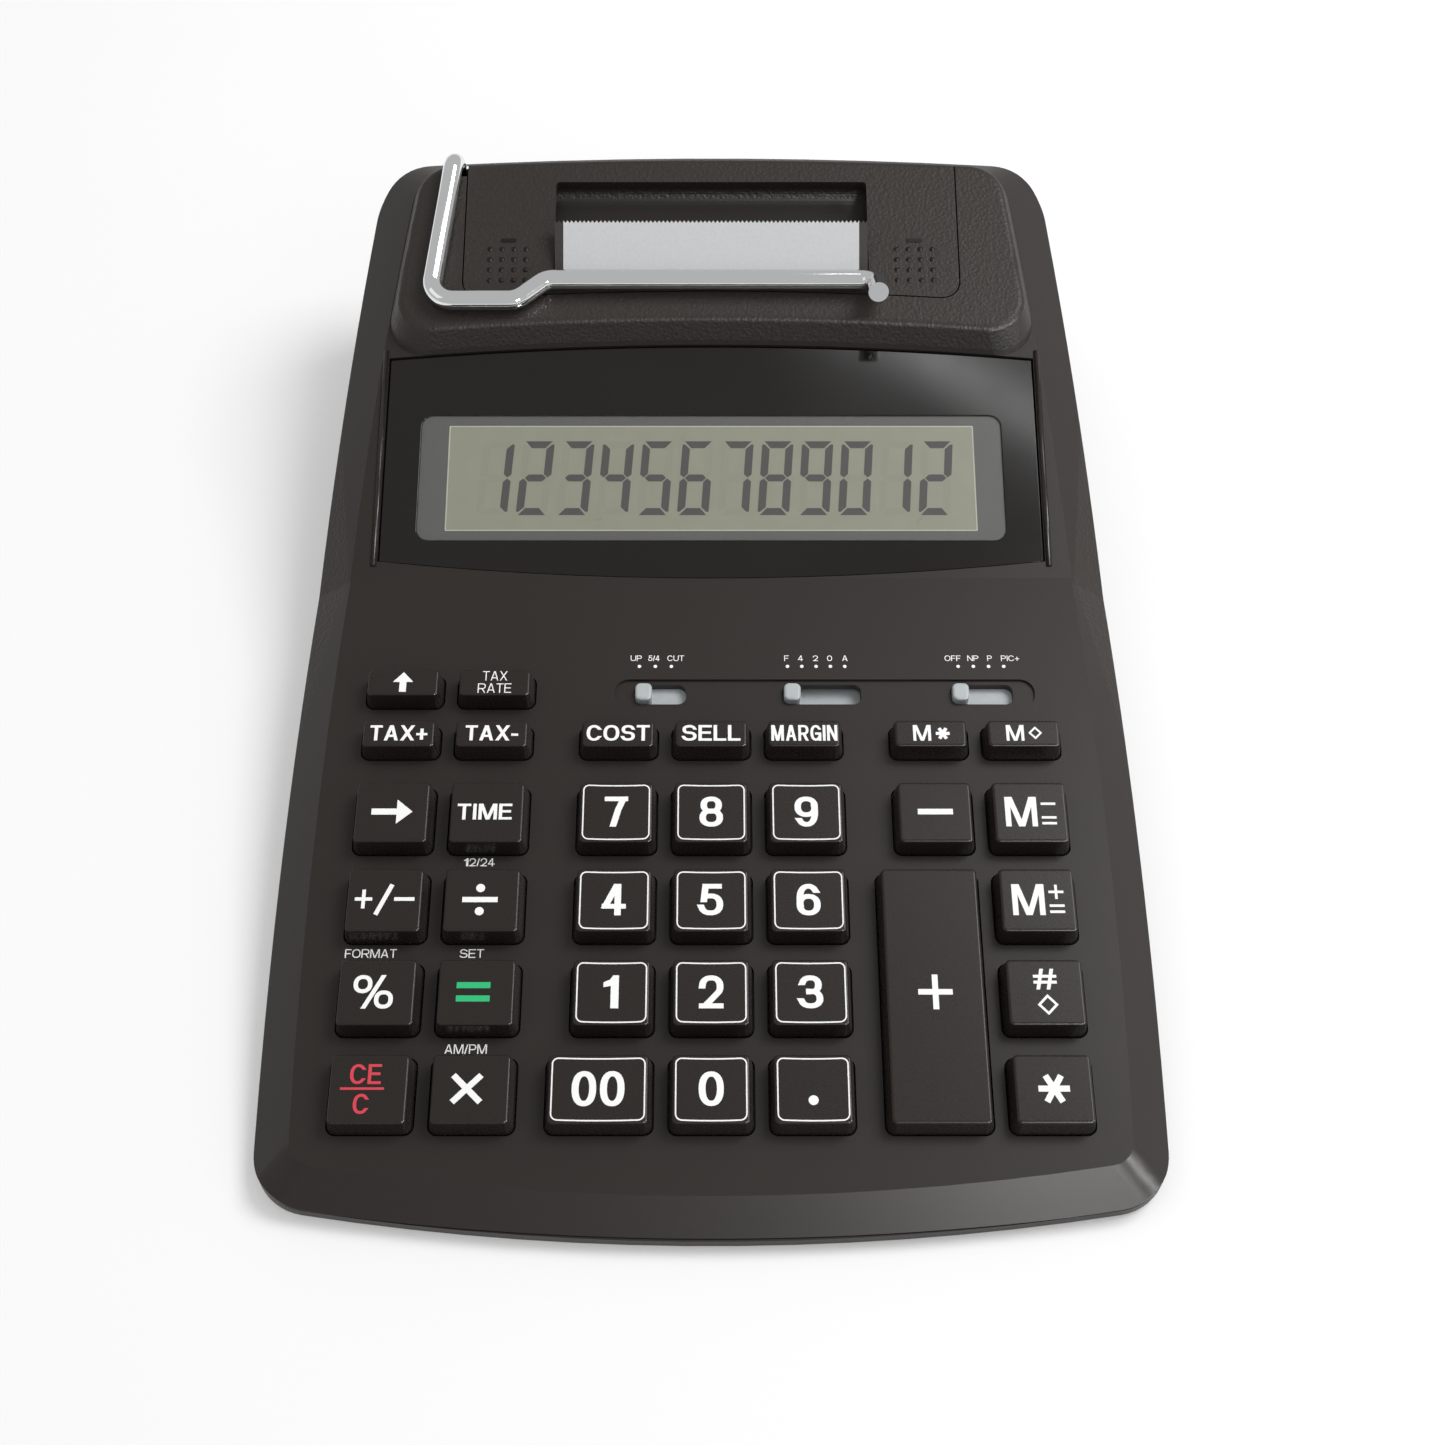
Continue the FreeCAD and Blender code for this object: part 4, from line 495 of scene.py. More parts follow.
STEM = [(0, 0), (0, 1)]
BOWL = [(0, 1)] + arc(0.55, 0.72, 0.45, 0.28, 90, -90, 10) + [(0, 0.44)]
LETTERS = {
    "A": (0.76, [[(0.06, 0), (0.45, 1)], [(0.94, 0), (0.55, 1)], [(0.2, 0.27), (0.8, 0.27)]]),
    "C": (0.74, [arc(0.5, 0.5, 0.5, 0.5, 38, 322)]),
    "E": (0.62, [[(1, 1), (0, 1), (0, 0), (1, 0)], [(0, 0.52), (0.9, 0.52)]]),
    "F": (0.58, [[(1, 1), (0, 1), (0, 0)], [(0, 0.48), (0.85, 0.48)]]),
    "G": (0.76, [arc(0.5, 0.5, 0.5, 0.5, 38, 325), [(0.58, 0.45), (1, 0.45), (1, 0)]]),
    "I": (0.0, [[(0.5, 0), (0.5, 1)]]),
    "L": (0.58, [[(0, 1), (0, 0), (1, 0)]]),
    "M": (0.88, [STEM, [(1, 0), (1, 1)], [(0.10, 1), (0.46, 0)], [(0.90, 1), (0.54, 0)]]),
    "N": (0.72, [STEM, [(1, 0), (1, 1)], [(0.08, 1), (0.92, 0)]]),
    "O": (0.78, [loop(0.5, 0.5, 0.5, 0.5)]),
    "P": (0.66, [STEM, BOWL]),
    "R": (0.72, [STEM, BOWL, [(0.55, 0.44), (0.92, 0)]]),
    "S": (0.68, [arc(0.5, 0.755, 0.46, 0.245, 15, 270) + arc(0.5, 0.255, 0.5, 0.255, 90, -165)[1:]]),
    "T": (0.64, [[(0, 1), (1, 1)], [(0.5, 0), (0.5, 1)]]),
    "U": (0.72, [[(0, 1)] + arc(0.5, 0.36, 0.5, 0.36, 180, 360) + [(1, 1)]]),
    "X": (0.74, [[(0.08, 0), (0.92, 1)], [(0.08, 1), (0.92, 0)]]),
    "/": (0.32, [[(0, 0), (1, 1)]]),
    "+": (0.58, [[(0, 0.40), (1, 0.40)], [(0.5, 0.06), (0.5, 0.74)]]),
    "-": (0.36, [[(0, 0.36), (1, 0.36)]]),
    "#": (0.80, [[(0.14, 0), (0.34, 1)], [(0.66, 0), (0.86, 1)],
                 [(0, 0.66), (1, 0.66)], [(0, 0.33), (1, 0.33)]]),
    "%": (0.95, [loop(0.2, 0.76, 0.2, 0.24), loop(0.8, 0.24, 0.2, 0.24), [(0.28, 0), (0.74, 1)]]),
    "0": (0.70, [loop(0.5, 0.5, 0.5, 0.5)]),
    "2": (0.70, [arc(0.5, 0.69, 0.5, 0.31, 178, -38) + [(0.16, 0)], [(0, 0), (1, 0)]]),
    "3": (0.70, [arc(0.48, 0.75, 0.45, 0.25, 165, -95), arc(0.48, 0.26, 0.52, 0.26, 95, -165)]),
    "4": (0.72, [[(0.72, 0), (0.72, 1)], [(0.62, 1), (0.03, 0.27)], [(0, 0.25), (1, 0.25)]]),
    "5": (0.70, [[(0.92, 1), (0.17, 1), (0.08, 0.49)], arc(0.46, 0.32, 0.54, 0.32, 116, -165)]),
    "6": (0.70, [loop(0.5, 0.31, 0.5, 0.31), arc(0.5, 0.5, 0.5, 0.5, 40, 200)]),
    "7": (0.70, [[(0, 1), (1, 1)], [(0.88, 0.96), (0.62, 0.58), (0.36, 0)]]),
    "8": (0.70, [loop(0.5, 0.755, 0.44, 0.245), loop(0.5, 0.265, 0.5, 0.265)]),
    "9": (0.70, [loop(0.5, 0.69, 0.5, 0.31), arc(0.5, 0.5, 0.5, 0.5, 220, 380)]),
}
ONE_WIDTH = 0.48
ONE = [(0.48, 0), (1, 0), (1, 1), (0.62, 1), (0.42, 0.87), (0, 0.79), (0, 0.64), (0.48, 0.68)]
print("letters", len(LETTERS) + 1)


# %% Pen
def pen_edges(points, half_x, half_y):
    """Left and right edges of a stroke, mitred at its bends and cut square to the box at its ends."""
    steps = [(Vector(b) - Vector(a)).normalized() for a, b in zip(points, points[1:])]
    left, right = [], []
    for index, point in enumerate(points):
        before, after = steps[max(index - 1, 0)], steps[min(index, len(steps) - 1)]
        turn = (before + after) / (1 + before.dot(after))
        place, edge = Vector(point), Vector((-turn.y * half_x, turn.x * half_y))
        if index in (0, len(points) - 1):
            out = -after if index == 0 else before
            width = after.y ** 2 * half_x + after.x ** 2 * half_y
            level = abs(after.y) > 0.8 * abs(after.x)
            place += out * (half_y / abs(after.y) if level else half_x / abs(after.x))
            edge = Vector((-width / after.y, 0)) if level else Vector((0, width / after.x))
        left.append(place + edge)
        right.append(place - edge)
    return left, right


def stroke(bm, points, half_x, half_y, top):
    """Film along a line of points; a line that closes on itself becomes a ring."""
    if math.dist(points[0], points[-1]) > 1e-6:
        left, right = pen_edges(points, half_x, half_y)
        prism(bm, right + left[::-1], 0, top)
        return
    around = points[:-1]
    left, right = pen_edges([around[-1]] + around + [around[0]], half_x, half_y)
    band(bm, right[1:-1], left[1:-1], 0, top)


def letter(bm, sign, x, y, width, height, pen_x, pen_y):
    """One letter in a box whose lower left corner is given."""
    if sign == "1":
        prism(bm, [(x + a * width, y + b * height) for a, b in ONE], 0, FILM)
        return
    left, low = x + pen_x / 2, y + pen_y / 2
    for order, line in enumerate(LETTERS[sign][1]):
        points = [(left + a * (width - pen_x), low + b * (height - pen_y)) for a, b in line]
        stroke(bm, points, pen_x / 2, pen_y / 2, FILM + LAYER * order)


def lettering(bm, words, x, y, width, height, pen):
    """Words fitted to a width and a height about a centre, as a thin film."""
    pen_x, pen_y = pen[0] * height, pen[1] * height
    gap = LETTER_GAP * height
    shares = [max((ONE_WIDTH if sign == "1" else LETTERS[sign][0]) * height, pen_x) for sign in words]
    stretch = (width - gap * (len(words) - 1)) / sum(shares)
    left = x - width / 2
    for sign, share in zip(words, shares):
        letter(bm, sign, left, y - height / 2, share * stretch, height, pen_x, pen_y)
        left += share * stretch + gap


# %% [markdown]
# Keys carry words, figures and signs. A sign is a list of marks about the middle of the key. Each mark names
# the function that draws it and then its place and sizes, so the whole set of legends is one readable table.

# %% Marks
def bar(bm, x, y, width, height, turn=0.0):
    prism(bm, strip(x, y, width, height, turn), 0, FILM)


def dot(bm, x, y, width, count=20):
    prism(bm, disc(x, y, width, count), 0, FILM)


def diamond(bm, x, y, width, line):
    """Outlined diamond, a little taller than wide."""
    half, tall = width / 2, width / 2 * 1.05
    outer = [(x, y - tall), (x + half, y), (x, y + tall), (x - half, y)]
    share = 1 - 2 * line / width
    inner = [(x + (a - x) * share, y + (b - y) * share) for a, b in outer]
    band(bm, outer, inner, 0, FILM)


def star(bm, x, y, width, line):
    """Three crossing bars."""
    for order in range(3):
        prism(bm, strip(x, y, width, line, 60 * order), 0, FILM + LAYER * order)


def cross(bm, x, y, width, height, line, turn=0):
    """Plus or times sign."""
    prism(bm, strip(x, y, width, line, turn), 0, FILM)
    prism(bm, strip(x, y, line, height, turn), 0, FILM + LAYER)


def arrow(bm, length, head, width, line, turn):
    """Arrow about the middle of the key, turned anticlockwise from pointing right."""
    c, s = math.cos(math.radians(turn)), math.sin(math.radians(turn))
    tail, neck, tip = -length / 2, length / 2 - head, length / 2
    points = [(tail, -line / 2), (neck, -line / 2), (neck, -width / 2), (tip, 0),
              (neck, width / 2), (neck, line / 2), (tail, line / 2)]
    prism(bm, [(a * c - b * s, a * s + b * c) for a, b in points], 0, FILM)


# %% Signs of the keys
SIGNS = {
    "up": [(arrow, 4.0, 2.0, 3.6, 1.2, 90)],
    "backspace": [(arrow, 7.0, 2.7, 4.6, 1.15, 0)],
    "tax_rate": [(lettering, "TAX", 0, 1.25, 4.4, 1.9, LIGHT),
                 (lettering, "RATE", 0, -1.25, 5.9, 1.9, LIGHT)],
    "tax_plus": [(lettering, "TAX+", 0, 0, 10.0, 3.0, BOLD)],
    "tax_minus": [(lettering, "TAX-", 0, 0, 9.2, 3.0, BOLD)],
    "cost": [(lettering, "COST", 0, 0, 11.0, 3.1, BOLD)],
    "sell": [(lettering, "SELL", 0, 0, 10.2, 3.1, BOLD)],
    "margin": [(lettering, "MARGIN", 0, 0, 11.5, 3.1, NARROW)],
    "time": [(lettering, "TIME", -0.4, 0, 9.3, 3.0, BOLD)],
    "sign": [(cross, -3.5, 0.1, 2.9, 3.4, 0.6), (bar, -0.1, 0, 0.75, 6.0, -24), (bar, 3.3, 0.1, 3.4, 0.65)],
    "divide": [(bar, -0.3, 0, 5.9, 0.95), (dot, -0.3, 2.1, 1.5), (dot, -0.3, -2.1, 1.5)],
    "percent": [(lettering, "%", -0.55, 0, 6.6, 5.8, SIGN)],
    "equals": [(bar, -0.5, 1.15, 5.5, 1.05), (bar, -0.5, -1.15, 5.5, 1.05)],
    "clear": [(lettering, "CE", -0.6, 2.4, 5.0, 3.3, MEDIUM), (bar, -1.0, 0, 7.0, 0.4),
              (lettering, "C", -1.0, -2.5, 2.5, 3.3, MEDIUM)],
    "multiply": [(cross, -0.6, 0, 6.3, 6.3, 1.0, 45)],
    "minus": [(bar, 0, 0, 6.0, 1.05)],
    "plus": [(cross, 0, 0, 5.6, 6.0, 0.95)],
    "total": [(star, 0, 0, 5.0, 1.0)],
    "item_count": [(lettering, "#", 0, 2.2, 3.8, 3.6, MEDIUM), (diamond, 0.2, -2.2, 3.4, 0.55)],
    "memory_total": [(lettering, "M", -1.5, 0, 3.1, 3.1, MEDIUM), (star, 2.1, -0.1, 2.4, 0.6)],
    "memory_subtotal": [(lettering, "M", -1.5, 0, 3.1, 3.1, MEDIUM), (diamond, 2.0, 0, 2.4, 0.45)],
    "memory_plus": [(lettering, "M", -1.6, 0, 5.4, 5.6, MEDIUM), (cross, 3.1, 1.4, 2.5, 2.6, 0.45)],
    "memory_minus": [(lettering, "M", -1.6, 0, 5.4, 5.6, MEDIUM), (bar, 3.1, 1.5, 2.5, 0.45)],
    "point": [(dot, 0, -1.9, 1.6)],
    "double_zero": [(lettering, "00", 0, 0, 8.4, 5.8, BOLD)],
    "1": [(lettering, "1", -0.1, 0, 2.5, 5.7, BOLD)],
}
for figure in "023456789":
    SIGNS[figure] = [(lettering, figure, 0, 0, 4.0, 5.7, BOLD)]
for key in ("memory_plus", "memory_minus"):
    SIGNS[key] += [(bar, 3.1, -1.1, 2.5, 0.45), (bar, 3.1, -2.2, 2.5, 0.45)]
print("signs", len(SIGNS))

# %% [markdown]
# The keys stand in rows and columns on the deck, so a legend's place is a row and a column by name. Number
# keys also carry a thin white frame. A straight frame looks stuck on, so its long lines sag a little, as
# they do on a dished key top.

# %% Places of the keys
KEY_TOP = 4.0
PITCH = 16.2
SIDE, OUTER = 38.2, 54.4
WIDE_LEFT, WIDE_RIGHT = -17.95, 36.45
ROW = {"f": 16.1, "e": 32.43, "d": 48.76, "c": 65.09, "b": 80.37, "a": 90.61}
COLUMN = {"far_left": -OUTER, "left": -SIDE, "one": -PITCH, "two": 0.0, "three": PITCH,
          "right": SIDE, "far_right": OUTER, "wide_one": WIDE_LEFT, "wide_right": WIDE_RIGHT}
LAYOUT = {
    "a": "up far_left, tax_rate left",
    "b": "tax_plus far_left, tax_minus left, cost one, sell two, margin three, memory_total right, "
         "memory_subtotal far_right",
    "c": "backspace far_left, time left, 7 one, 8 two, 9 three, minus right, memory_minus far_right",
    "d": "sign far_left, divide left, 4 one, 5 two, 6 three, memory_plus far_right",
    "e": "percent far_left, equals left, 1 one, 2 two, 3 three, plus wide_right, item_count far_right",
    "f": "clear far_left, multiply left, double_zero wide_one, 0 two, point three, total far_right",
}
print("rows", len(ROW))

# %% Key legends
INK_OF = {"equals": green_ink, "clear": red_ink}
FRAMED = set("0123456789") | {"point", "double_zero"}
FRAME_WIDTH, FRAME_HEIGHT, FRAME_ROUND = 11.5, 10.4, 1.1
FRAME_LINE = 0.23
WIDER = {"double_zero": 3.5}
DISH = 0.16


def dished(outline, width, parts=6):
    """Outline with its edges divided, so that the middle of the key can sag."""
    points = []
    for (ax, ay), (bx, by) in zip(outline, outline[1:] + outline[:1]):
        for index in range(parts):
            x = ax + (bx - ax) * index / parts
            y = ay + (by - ay) * index / parts
            points.append((x, y - DISH * (1 - (2 * x / width) ** 2)))
    return points


def key_frame(bm, width):
    """Thin line round the top of a number key."""
    outer = rounded(width, FRAME_HEIGHT, FRAME_ROUND)
    inner = rounded(width - 2 * FRAME_LINE, FRAME_HEIGHT - 2 * FRAME_LINE, FRAME_ROUND - FRAME_LINE)
    band(bm, dished(outer, width), dished(inner, width), 0, FILM)


key_count = 0
for row, entries in LAYOUT.items():
    for entry in entries.split(", "):
        key, column = entry.split()
        drawing = bmesh.new()
        for draw, *sizes in SIGNS[key]:
            draw(drawing, *sizes)
        if key in FRAMED:
            key_frame(drawing, FRAME_WIDTH + WIDER.get(key, 0))
        top = DECK @ Matrix.Translation(Vector((COLUMN[column], ROW[row], KEY_TOP - INK_SINK)) * MM)
        finish_piece("legend_" + key, drawing, top, INK_OF.get(key, white_ink), f"key_{key}_body")
        key_count += 1
print("legends", key_count)

# %% [markdown]
# The deck itself carries small white labels: second functions beside some keys, and a word with a dot for
# each stop of the three slide switches. They are printed in one pass, so they are one piece. A thin pen keeps
# such small letters open.

# %% Deck labels
SECOND_FUNCTIONS = (
    ("12/24", -39.5, 57.45, 5.2, 1.5), ("FORMAT", -56.6, 40.75, 8.6, 1.55),
    ("SET", -39.8, 40.75, 4.0, 1.55), ("AM/PM", -39.85, 24.1, 6.9, 1.6),
)
STOPS = (
    (-12.9, 2.87, (("UP", -13.5, 2.0), ("5/4", -10.3, 2.0), ("CUT", -6.4, 3.0))),
    (13.7, 2.57, (("F", 13.55, 0.85), ("4", 16.05, 0.9), ("2", 18.75, 0.9), ("0", 21.3, 0.9),
                  ("A", 24.05, 1.05))),
    (44.35, 2.73, (("OFF", 43.45, 2.9), ("NP", 47.1, 2.0), ("P", 50.1, 0.85), ("PIC+", 53.8, 3.3))),
)
WORDS_LINE, WORDS_HEIGHT = 97.85, 1.15
DOTS_LINE, DOT_WIDTH = 96.15, 0.66
labels = bmesh.new()
for words, x, y, width, height in SECOND_FUNCTIONS:
    lettering(labels, words, x, y, width, height, SIGN)
for first_dot, spacing, stops in STOPS:
    for order, (words, x, width) in enumerate(stops):
        lettering(labels, words, x, WORDS_LINE, width, WORDS_HEIGHT, SIGN)
        dot(labels, first_dot + order * spacing, DOTS_LINE, DOT_WIDTH, 12)
deck_face = DECK @ Matrix.Translation((0, 0, -INK_SINK * MM))
finish_piece("deck_labels", labels, deck_face, white_ink, "case")
print("switch stops", sum(len(stops) for *_, stops in STOPS))

# %% [markdown]
# The display panel is one sheet of acrylic, printed black on the back except for the window. A sheet with a
# painted mask would need a texture, so it is drawn as a dark plate with a rounded hole and a clear pane in
# the hole. The plate's front and rear edges are bowed. A flat curve with a bevel gives the hole and the
# softened edges in one go, and is then made a mesh. To the eye it is a dark mirror.

# %% Display panel
LENS_HALF = 61.5
FRONT_BOW, REAR_BOW = 558.0, 650.0
LENS_FRONT, LENS_REAR = 0.2, 48.7
LENS_BOTTOM, LENS_TOP = -2.0, -0.4
LENS_EDGE = 0.15
LCD_MIDDLE = 20.9
WINDOW_WIDTH, WINDOW_HEIGHT, WINDOW_ROUND = 109.8, 26.0, 2.3
lens_black = satin_abs("gloss_acrylic_black", "#120F0D", 0.12, 30.0, 0.0001, 0.35)


def lens_outline(count=24):
    """Outline of the panel: straight sides, bowed front and rear edges."""
    across = [LENS_HALF * (2 * index / count - 1) for index in range(count + 1)]
    front = [(x, LENS_FRONT + FRONT_BOW - math.sqrt(FRONT_BOW ** 2 - x * x)) for x in across]
    rear = [(x, LENS_REAR - REAR_BOW + math.sqrt(REAR_BOW ** 2 - x * x)) for x in reversed(across)]
    return front + rear


def plate_with_hole(name, outer, hole, thickness, edge):
    """Plate between two outlines, with softened edges, about its middle height."""
    curve = bpy.data.curves.new(name, "CURVE")
    curve.dimensions = "2D"
    curve.fill_mode = "BOTH"
    curve.extrude = thickness / 2 - edge
    curve.bevel_depth = edge
    curve.bevel_resolution = 2
    curve.offset = -edge
    for outline in (outer, hole):
        spline = curve.splines.new("POLY")
        spline.points.add(len(outline) - 1)
        for point, (x, y) in zip(spline.points, outline):
            point.co = (x, y, 0, 1)
        spline.use_cyclic_u = True
    holder = bpy.data.objects.new(name, curve)
    scene.collection.objects.link(holder)
    bpy.context.view_layer.update()
    mesh = bpy.data.meshes.new_from_object(holder.evaluated_get(bpy.context.evaluated_depsgraph_get()))
    bpy.data.objects.remove(holder)
    bm = bmesh.new()
    bm.from_mesh(mesh)
    bpy.data.meshes.remove(mesh)
    return bm


window_hole = rounded(WINDOW_WIDTH, WINDOW_HEIGHT, WINDOW_ROUND, 0, LCD_MIDDLE)
plate = plate_with_hole("display_panel_black", lens_outline(), window_hole, LENS_TOP - LENS_BOTTOM, LENS_EDGE)
lens_middle = ROOF @ Matrix.Translation((0, 0, (LENS_TOP + LENS_BOTTOM) / 2 * MM))
lens_plate = finish_piece("display_panel_black", plate, lens_middle, lens_black, "case")
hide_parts("display_lens")
print("display panel", 2 * LENS_HALF, "mm wide")

# %% [markdown]
# Behind the window lie a grey border and the glass. On the real panel they are deep under a thick sheet,
# which bends light and makes them look near, so here they are films right under the pane. The pane itself is
# almost invisible and only adds a sheen.

# %% Display window
PANE_TOP, PANE_BOTTOM = -0.45, -0.75
PANE_GAP = 0.05
PANE_HAZE = 8.0
GLASS_WIDTH, GLASS_HEIGHT, GLASS_ROUND = 99.3, 21.9, 0.2
BORDER_BOTTOM, BORDER_TOP = PANE_BOTTOM - 0.2, PANE_BOTTOM - 0.01
pane_clear, pane_tree, pane_shader = new_material(
    "clear_acrylic_window", "#8A8A84", 0.05, Alpha=0.12, IOR=1.49)
pane_place = add(pane_tree, "ShaderNodeTexCoord", {}).outputs["Object"]
haze = add(pane_tree, "ShaderNodeTexNoise", {"Scale": 1 / (PANE_HAZE * MM), "Vector": pane_place})
pane_rough = add(pane_tree, "ShaderNodeMath", {"operation": "MULTIPLY", 0: haze, 1: 0.1})
pane_tree.links.new(pane_rough.outputs[0], pane_shader.inputs["Roughness"])
pane_outline = rounded(WINDOW_WIDTH - 2 * PANE_GAP, WINDOW_HEIGHT - 2 * PANE_GAP, WINDOW_ROUND - PANE_GAP,
                       0, LCD_MIDDLE)
glass_outline = rounded(GLASS_WIDTH, GLASS_HEIGHT, GLASS_ROUND, 0, LCD_MIDDLE)
pane = bmesh.new()
prism(pane, pane_outline, PANE_BOTTOM, PANE_TOP)
finish_piece("display_window", pane, ROOF, pane_clear, "case")
border = bmesh.new()
band(border, pane_outline, glass_outline, BORDER_BOTTOM, BORDER_TOP)
finish_piece("display_border", border, ROOF, surround_plastic, "case")
print("window", WINDOW_WIDTH, "by", WINDOW_HEIGHT, "mm")

# %% [markdown]
# A liquid crystal display has an olive ground. Its lit segments are dark slanted bars with mitred ends, and
# the unlit ones still show as a faint ghost. Three outlines make all seven segments of a digit: a top bar, a
# side bar and a middle bar, mirrored where needed. A table of letters says which segments are lit.

# %% Liquid crystal ground
LCD_LEVEL = PANE_BOTTOM - 0.05
GROUND_THICK = 0.15
EDGE_LINE, EDGE_ROUND = 0.2, 0.15
SEGMENT_FILM, GHOST_FILM = 0.03, 0.015
lcd_glass = satin_abs("olive_liquid_crystal", "#9FA08D", 0.30, 4.0, 0.002)
nodes["lcd_panel"].data.materials.clear()
nodes["lcd_panel"].data.materials.append(lcd_glass)
segment_dark = ink("segment_dark", "#2E2D30")
segment_ghost = ink("segment_ghost", "#9B9C88")
# The pale band round the glass is a painted highlight: light caught on the glass's cut edge.
glass_edge_highlight = ink("painted_glass_edge_highlight", "#DADBCB")
ground = bmesh.new()
prism(ground, glass_outline, LCD_LEVEL - GROUND_THICK, LCD_LEVEL)
finish_piece("display_ground", ground, ROOF, lcd_glass, "case")
print("display ground", GLASS_WIDTH, "by", GLASS_HEIGHT, "mm")

# %% Liquid crystal digits
SHOWN = "123456789012"
LIT = {"0": "abcdef", "1": "bc", "2": "abged", "3": "abgcd", "4": "fgbc", "5": "afgcd", "6": "afgedc",
       "7": "abc", "8": "abcdefg", "9": "abfgcd"}
DIGIT_WIDTH, DIGIT_HEIGHT, BAR = 5.9, 15.4, 1.45
DIGIT_PITCH, FIRST_DIGIT = 7.53, -40.6
SEGMENT_GAP = 0.22
TIP_CUT = 0.2
CORNER_CUT = 0.3 * BAR
LEAN = math.tan(math.radians(4))


def segments():
    """Outlines of the seven segments about the middle of a digit."""
    side, level, gap, half = DIGIT_WIDTH / 2, DIGIT_HEIGHT / 2, SEGMENT_GAP, BAR / 2
    inner = side - BAR
    tip = side - gap - TIP_CUT
    top = [(-tip, level), (-inner + gap, level - BAR), (inner - gap, level - BAR), (tip, level)]
    upright = [(inner, level - BAR - gap), (side - CORNER_CUT, level - CORNER_CUT - gap),
               (side, level - half), (side, half), (side - half, gap / 2), (inner, half + gap / 2)]
    middle = [(-side + half + gap, 0), (-inner + gap, half), (inner - gap, half), (side - half - gap, 0),
              (inner - gap, -half), (-inner + gap, -half)]
    mirrors = {"a": (top, 1, 1), "d": (top, 1, -1), "b": (upright, 1, 1), "c": (upright, 1, -1),
               "f": (upright, -1, 1), "e": (upright, -1, -1), "g": (middle, 1, 1)}
    return {name: [(x * sx, y * sy) for x, y in outline] for name, (outline, sx, sy) in mirrors.items()}


lit, ghost = bmesh.new(), bmesh.new()
for index, figure in enumerate(SHOWN):
    middle = FIRST_DIGIT + index * DIGIT_PITCH
    for name, outline in segments().items():
        points = [(middle + x + y * LEAN, LCD_MIDDLE + y) for x, y in outline]
        if name in LIT[figure]:
            prism(lit, points, LCD_LEVEL, LCD_LEVEL + SEGMENT_FILM)
        else:
            prism(ghost, points, LCD_LEVEL, LCD_LEVEL + GHOST_FILM)
finish_piece("display_digits", lit, ROOF, segment_dark, "case")
finish_piece("display_ghost_digits", ghost, ROOF, segment_ghost, "case")
# Painted highlight along the edge of the glass.
glass_edge = bmesh.new()
edge_inner = rounded(GLASS_WIDTH - 2 * EDGE_LINE, GLASS_HEIGHT - 2 * EDGE_LINE, EDGE_ROUND, 0, LCD_MIDDLE)
band(glass_edge, glass_outline, edge_inner, LCD_LEVEL, LCD_LEVEL + SEGMENT_FILM)
finish_piece("display_glass_edge", glass_edge, ROOF, glass_edge_highlight, "case")
print("digits", len(SHOWN))

# %% [markdown]
# A thin moulded rail runs down each side of the display panel. It is a round bead along a line beside the
# panel's edge, sunk half into the roof, so its lower half needs no fitting.

# %% Display rails
RAIL_WIDTH = 1.1
RAIL_PLACE = 62.4
RAIL_FRONT, RAIL_REAR = 2.5, 47.5


def bead(bm, start, end, width, sides=10):
    """Half-sunk round bar between two points, with closed ends."""
    direction = (end - start).normalized()
    across = direction.cross(Vector((0, 0, 1))).normalized()
    up = across.cross(direction)
    angles = [2 * math.pi * index / sides for index in range(sides)]
    ring = [(across * math.cos(angle) + up * math.sin(angle)) * width / 2 for angle in angles]
    near, far = [[bm.verts.new(point + offset) for offset in ring] for point in (start, end)]
    bm.faces.new(near)
    bm.faces.new(list(reversed(far)))
    for index in range(sides):
        after = (index + 1) % sides
        bm.faces.new((near[index], far[index], far[after], near[after]))


rails = bmesh.new()
for side in (-1, 1):
    rail_front = Vector((side * RAIL_PLACE, RAIL_FRONT, 0.0))
    rail_rear = Vector((side * RAIL_PLACE, RAIL_REAR, 0.0))
    bead(rails, rail_front, rail_rear, RAIL_WIDTH)
rail_piece = finish_piece("display_rails", rails, ROOF, key_plastic, "case")
rail_piece.data.shade_smooth()
print("rails", RAIL_REAR - RAIL_FRONT, "mm long")

# %% [markdown]
# The printer lid has a patch of grip dimples on each side, under a short dash. The dimples repeat, so a small
# Geometry Nodes tree lays one bead on every point of a grid. The result is made a plain mesh for each side.
# The beads and the dash are near black as painted shade, for the shade inside the real dimples and dash.

# %% Grip beads
GRIP_PITCH, GRIP_BEAD = 2.3, 0.55
GRIP_COUNT = 4
BEAD_FLATNESS = 0.45


def grip_tree(material):
    """Grid of beads with inputs for the spacing and the bead's size."""
    tree = bpy.data.node_groups.new("grip_beads", "GeometryNodeTree")
    tree.is_modifier = True
    for name, value in (("Pitch", GRIP_PITCH * MM), ("Bead", GRIP_BEAD * MM)):
        socket = tree.interface.new_socket(name, in_out="INPUT", socket_type="NodeSocketFloat")
        socket.default_value = value
    tree.interface.new_socket("Geometry", in_out="OUTPUT", socket_type="NodeSocketGeometry")
    sizes = add(tree, "NodeGroupInput", {}).outputs
    side = add(tree, "ShaderNodeMath", {"operation": "MULTIPLY", 0: sizes["Pitch"], 1: GRIP_COUNT - 1})
    grid = add(tree, "GeometryNodeMeshGrid",
               {"Vertices X": GRIP_COUNT, "Vertices Y": GRIP_COUNT, "Size X": side, "Size Y": side})
    sphere = add(tree, "GeometryNodeMeshIcoSphere", {"Subdivisions": 2, "Radius": sizes["Bead"]})
    spread = add(tree, "GeometryNodeInstanceOnPoints",
                 {"Points": grid, "Instance": sphere, "Scale": (1, 1, BEAD_FLATNESS)})
    real = add(tree, "GeometryNodeRealizeInstances", {"Geometry": spread})
    coat = add(tree, "GeometryNodeSetMaterial", {"Geometry": real, "Material": material})
    add(tree, "NodeGroupOutput", {"Geometry": coat})
    return tree
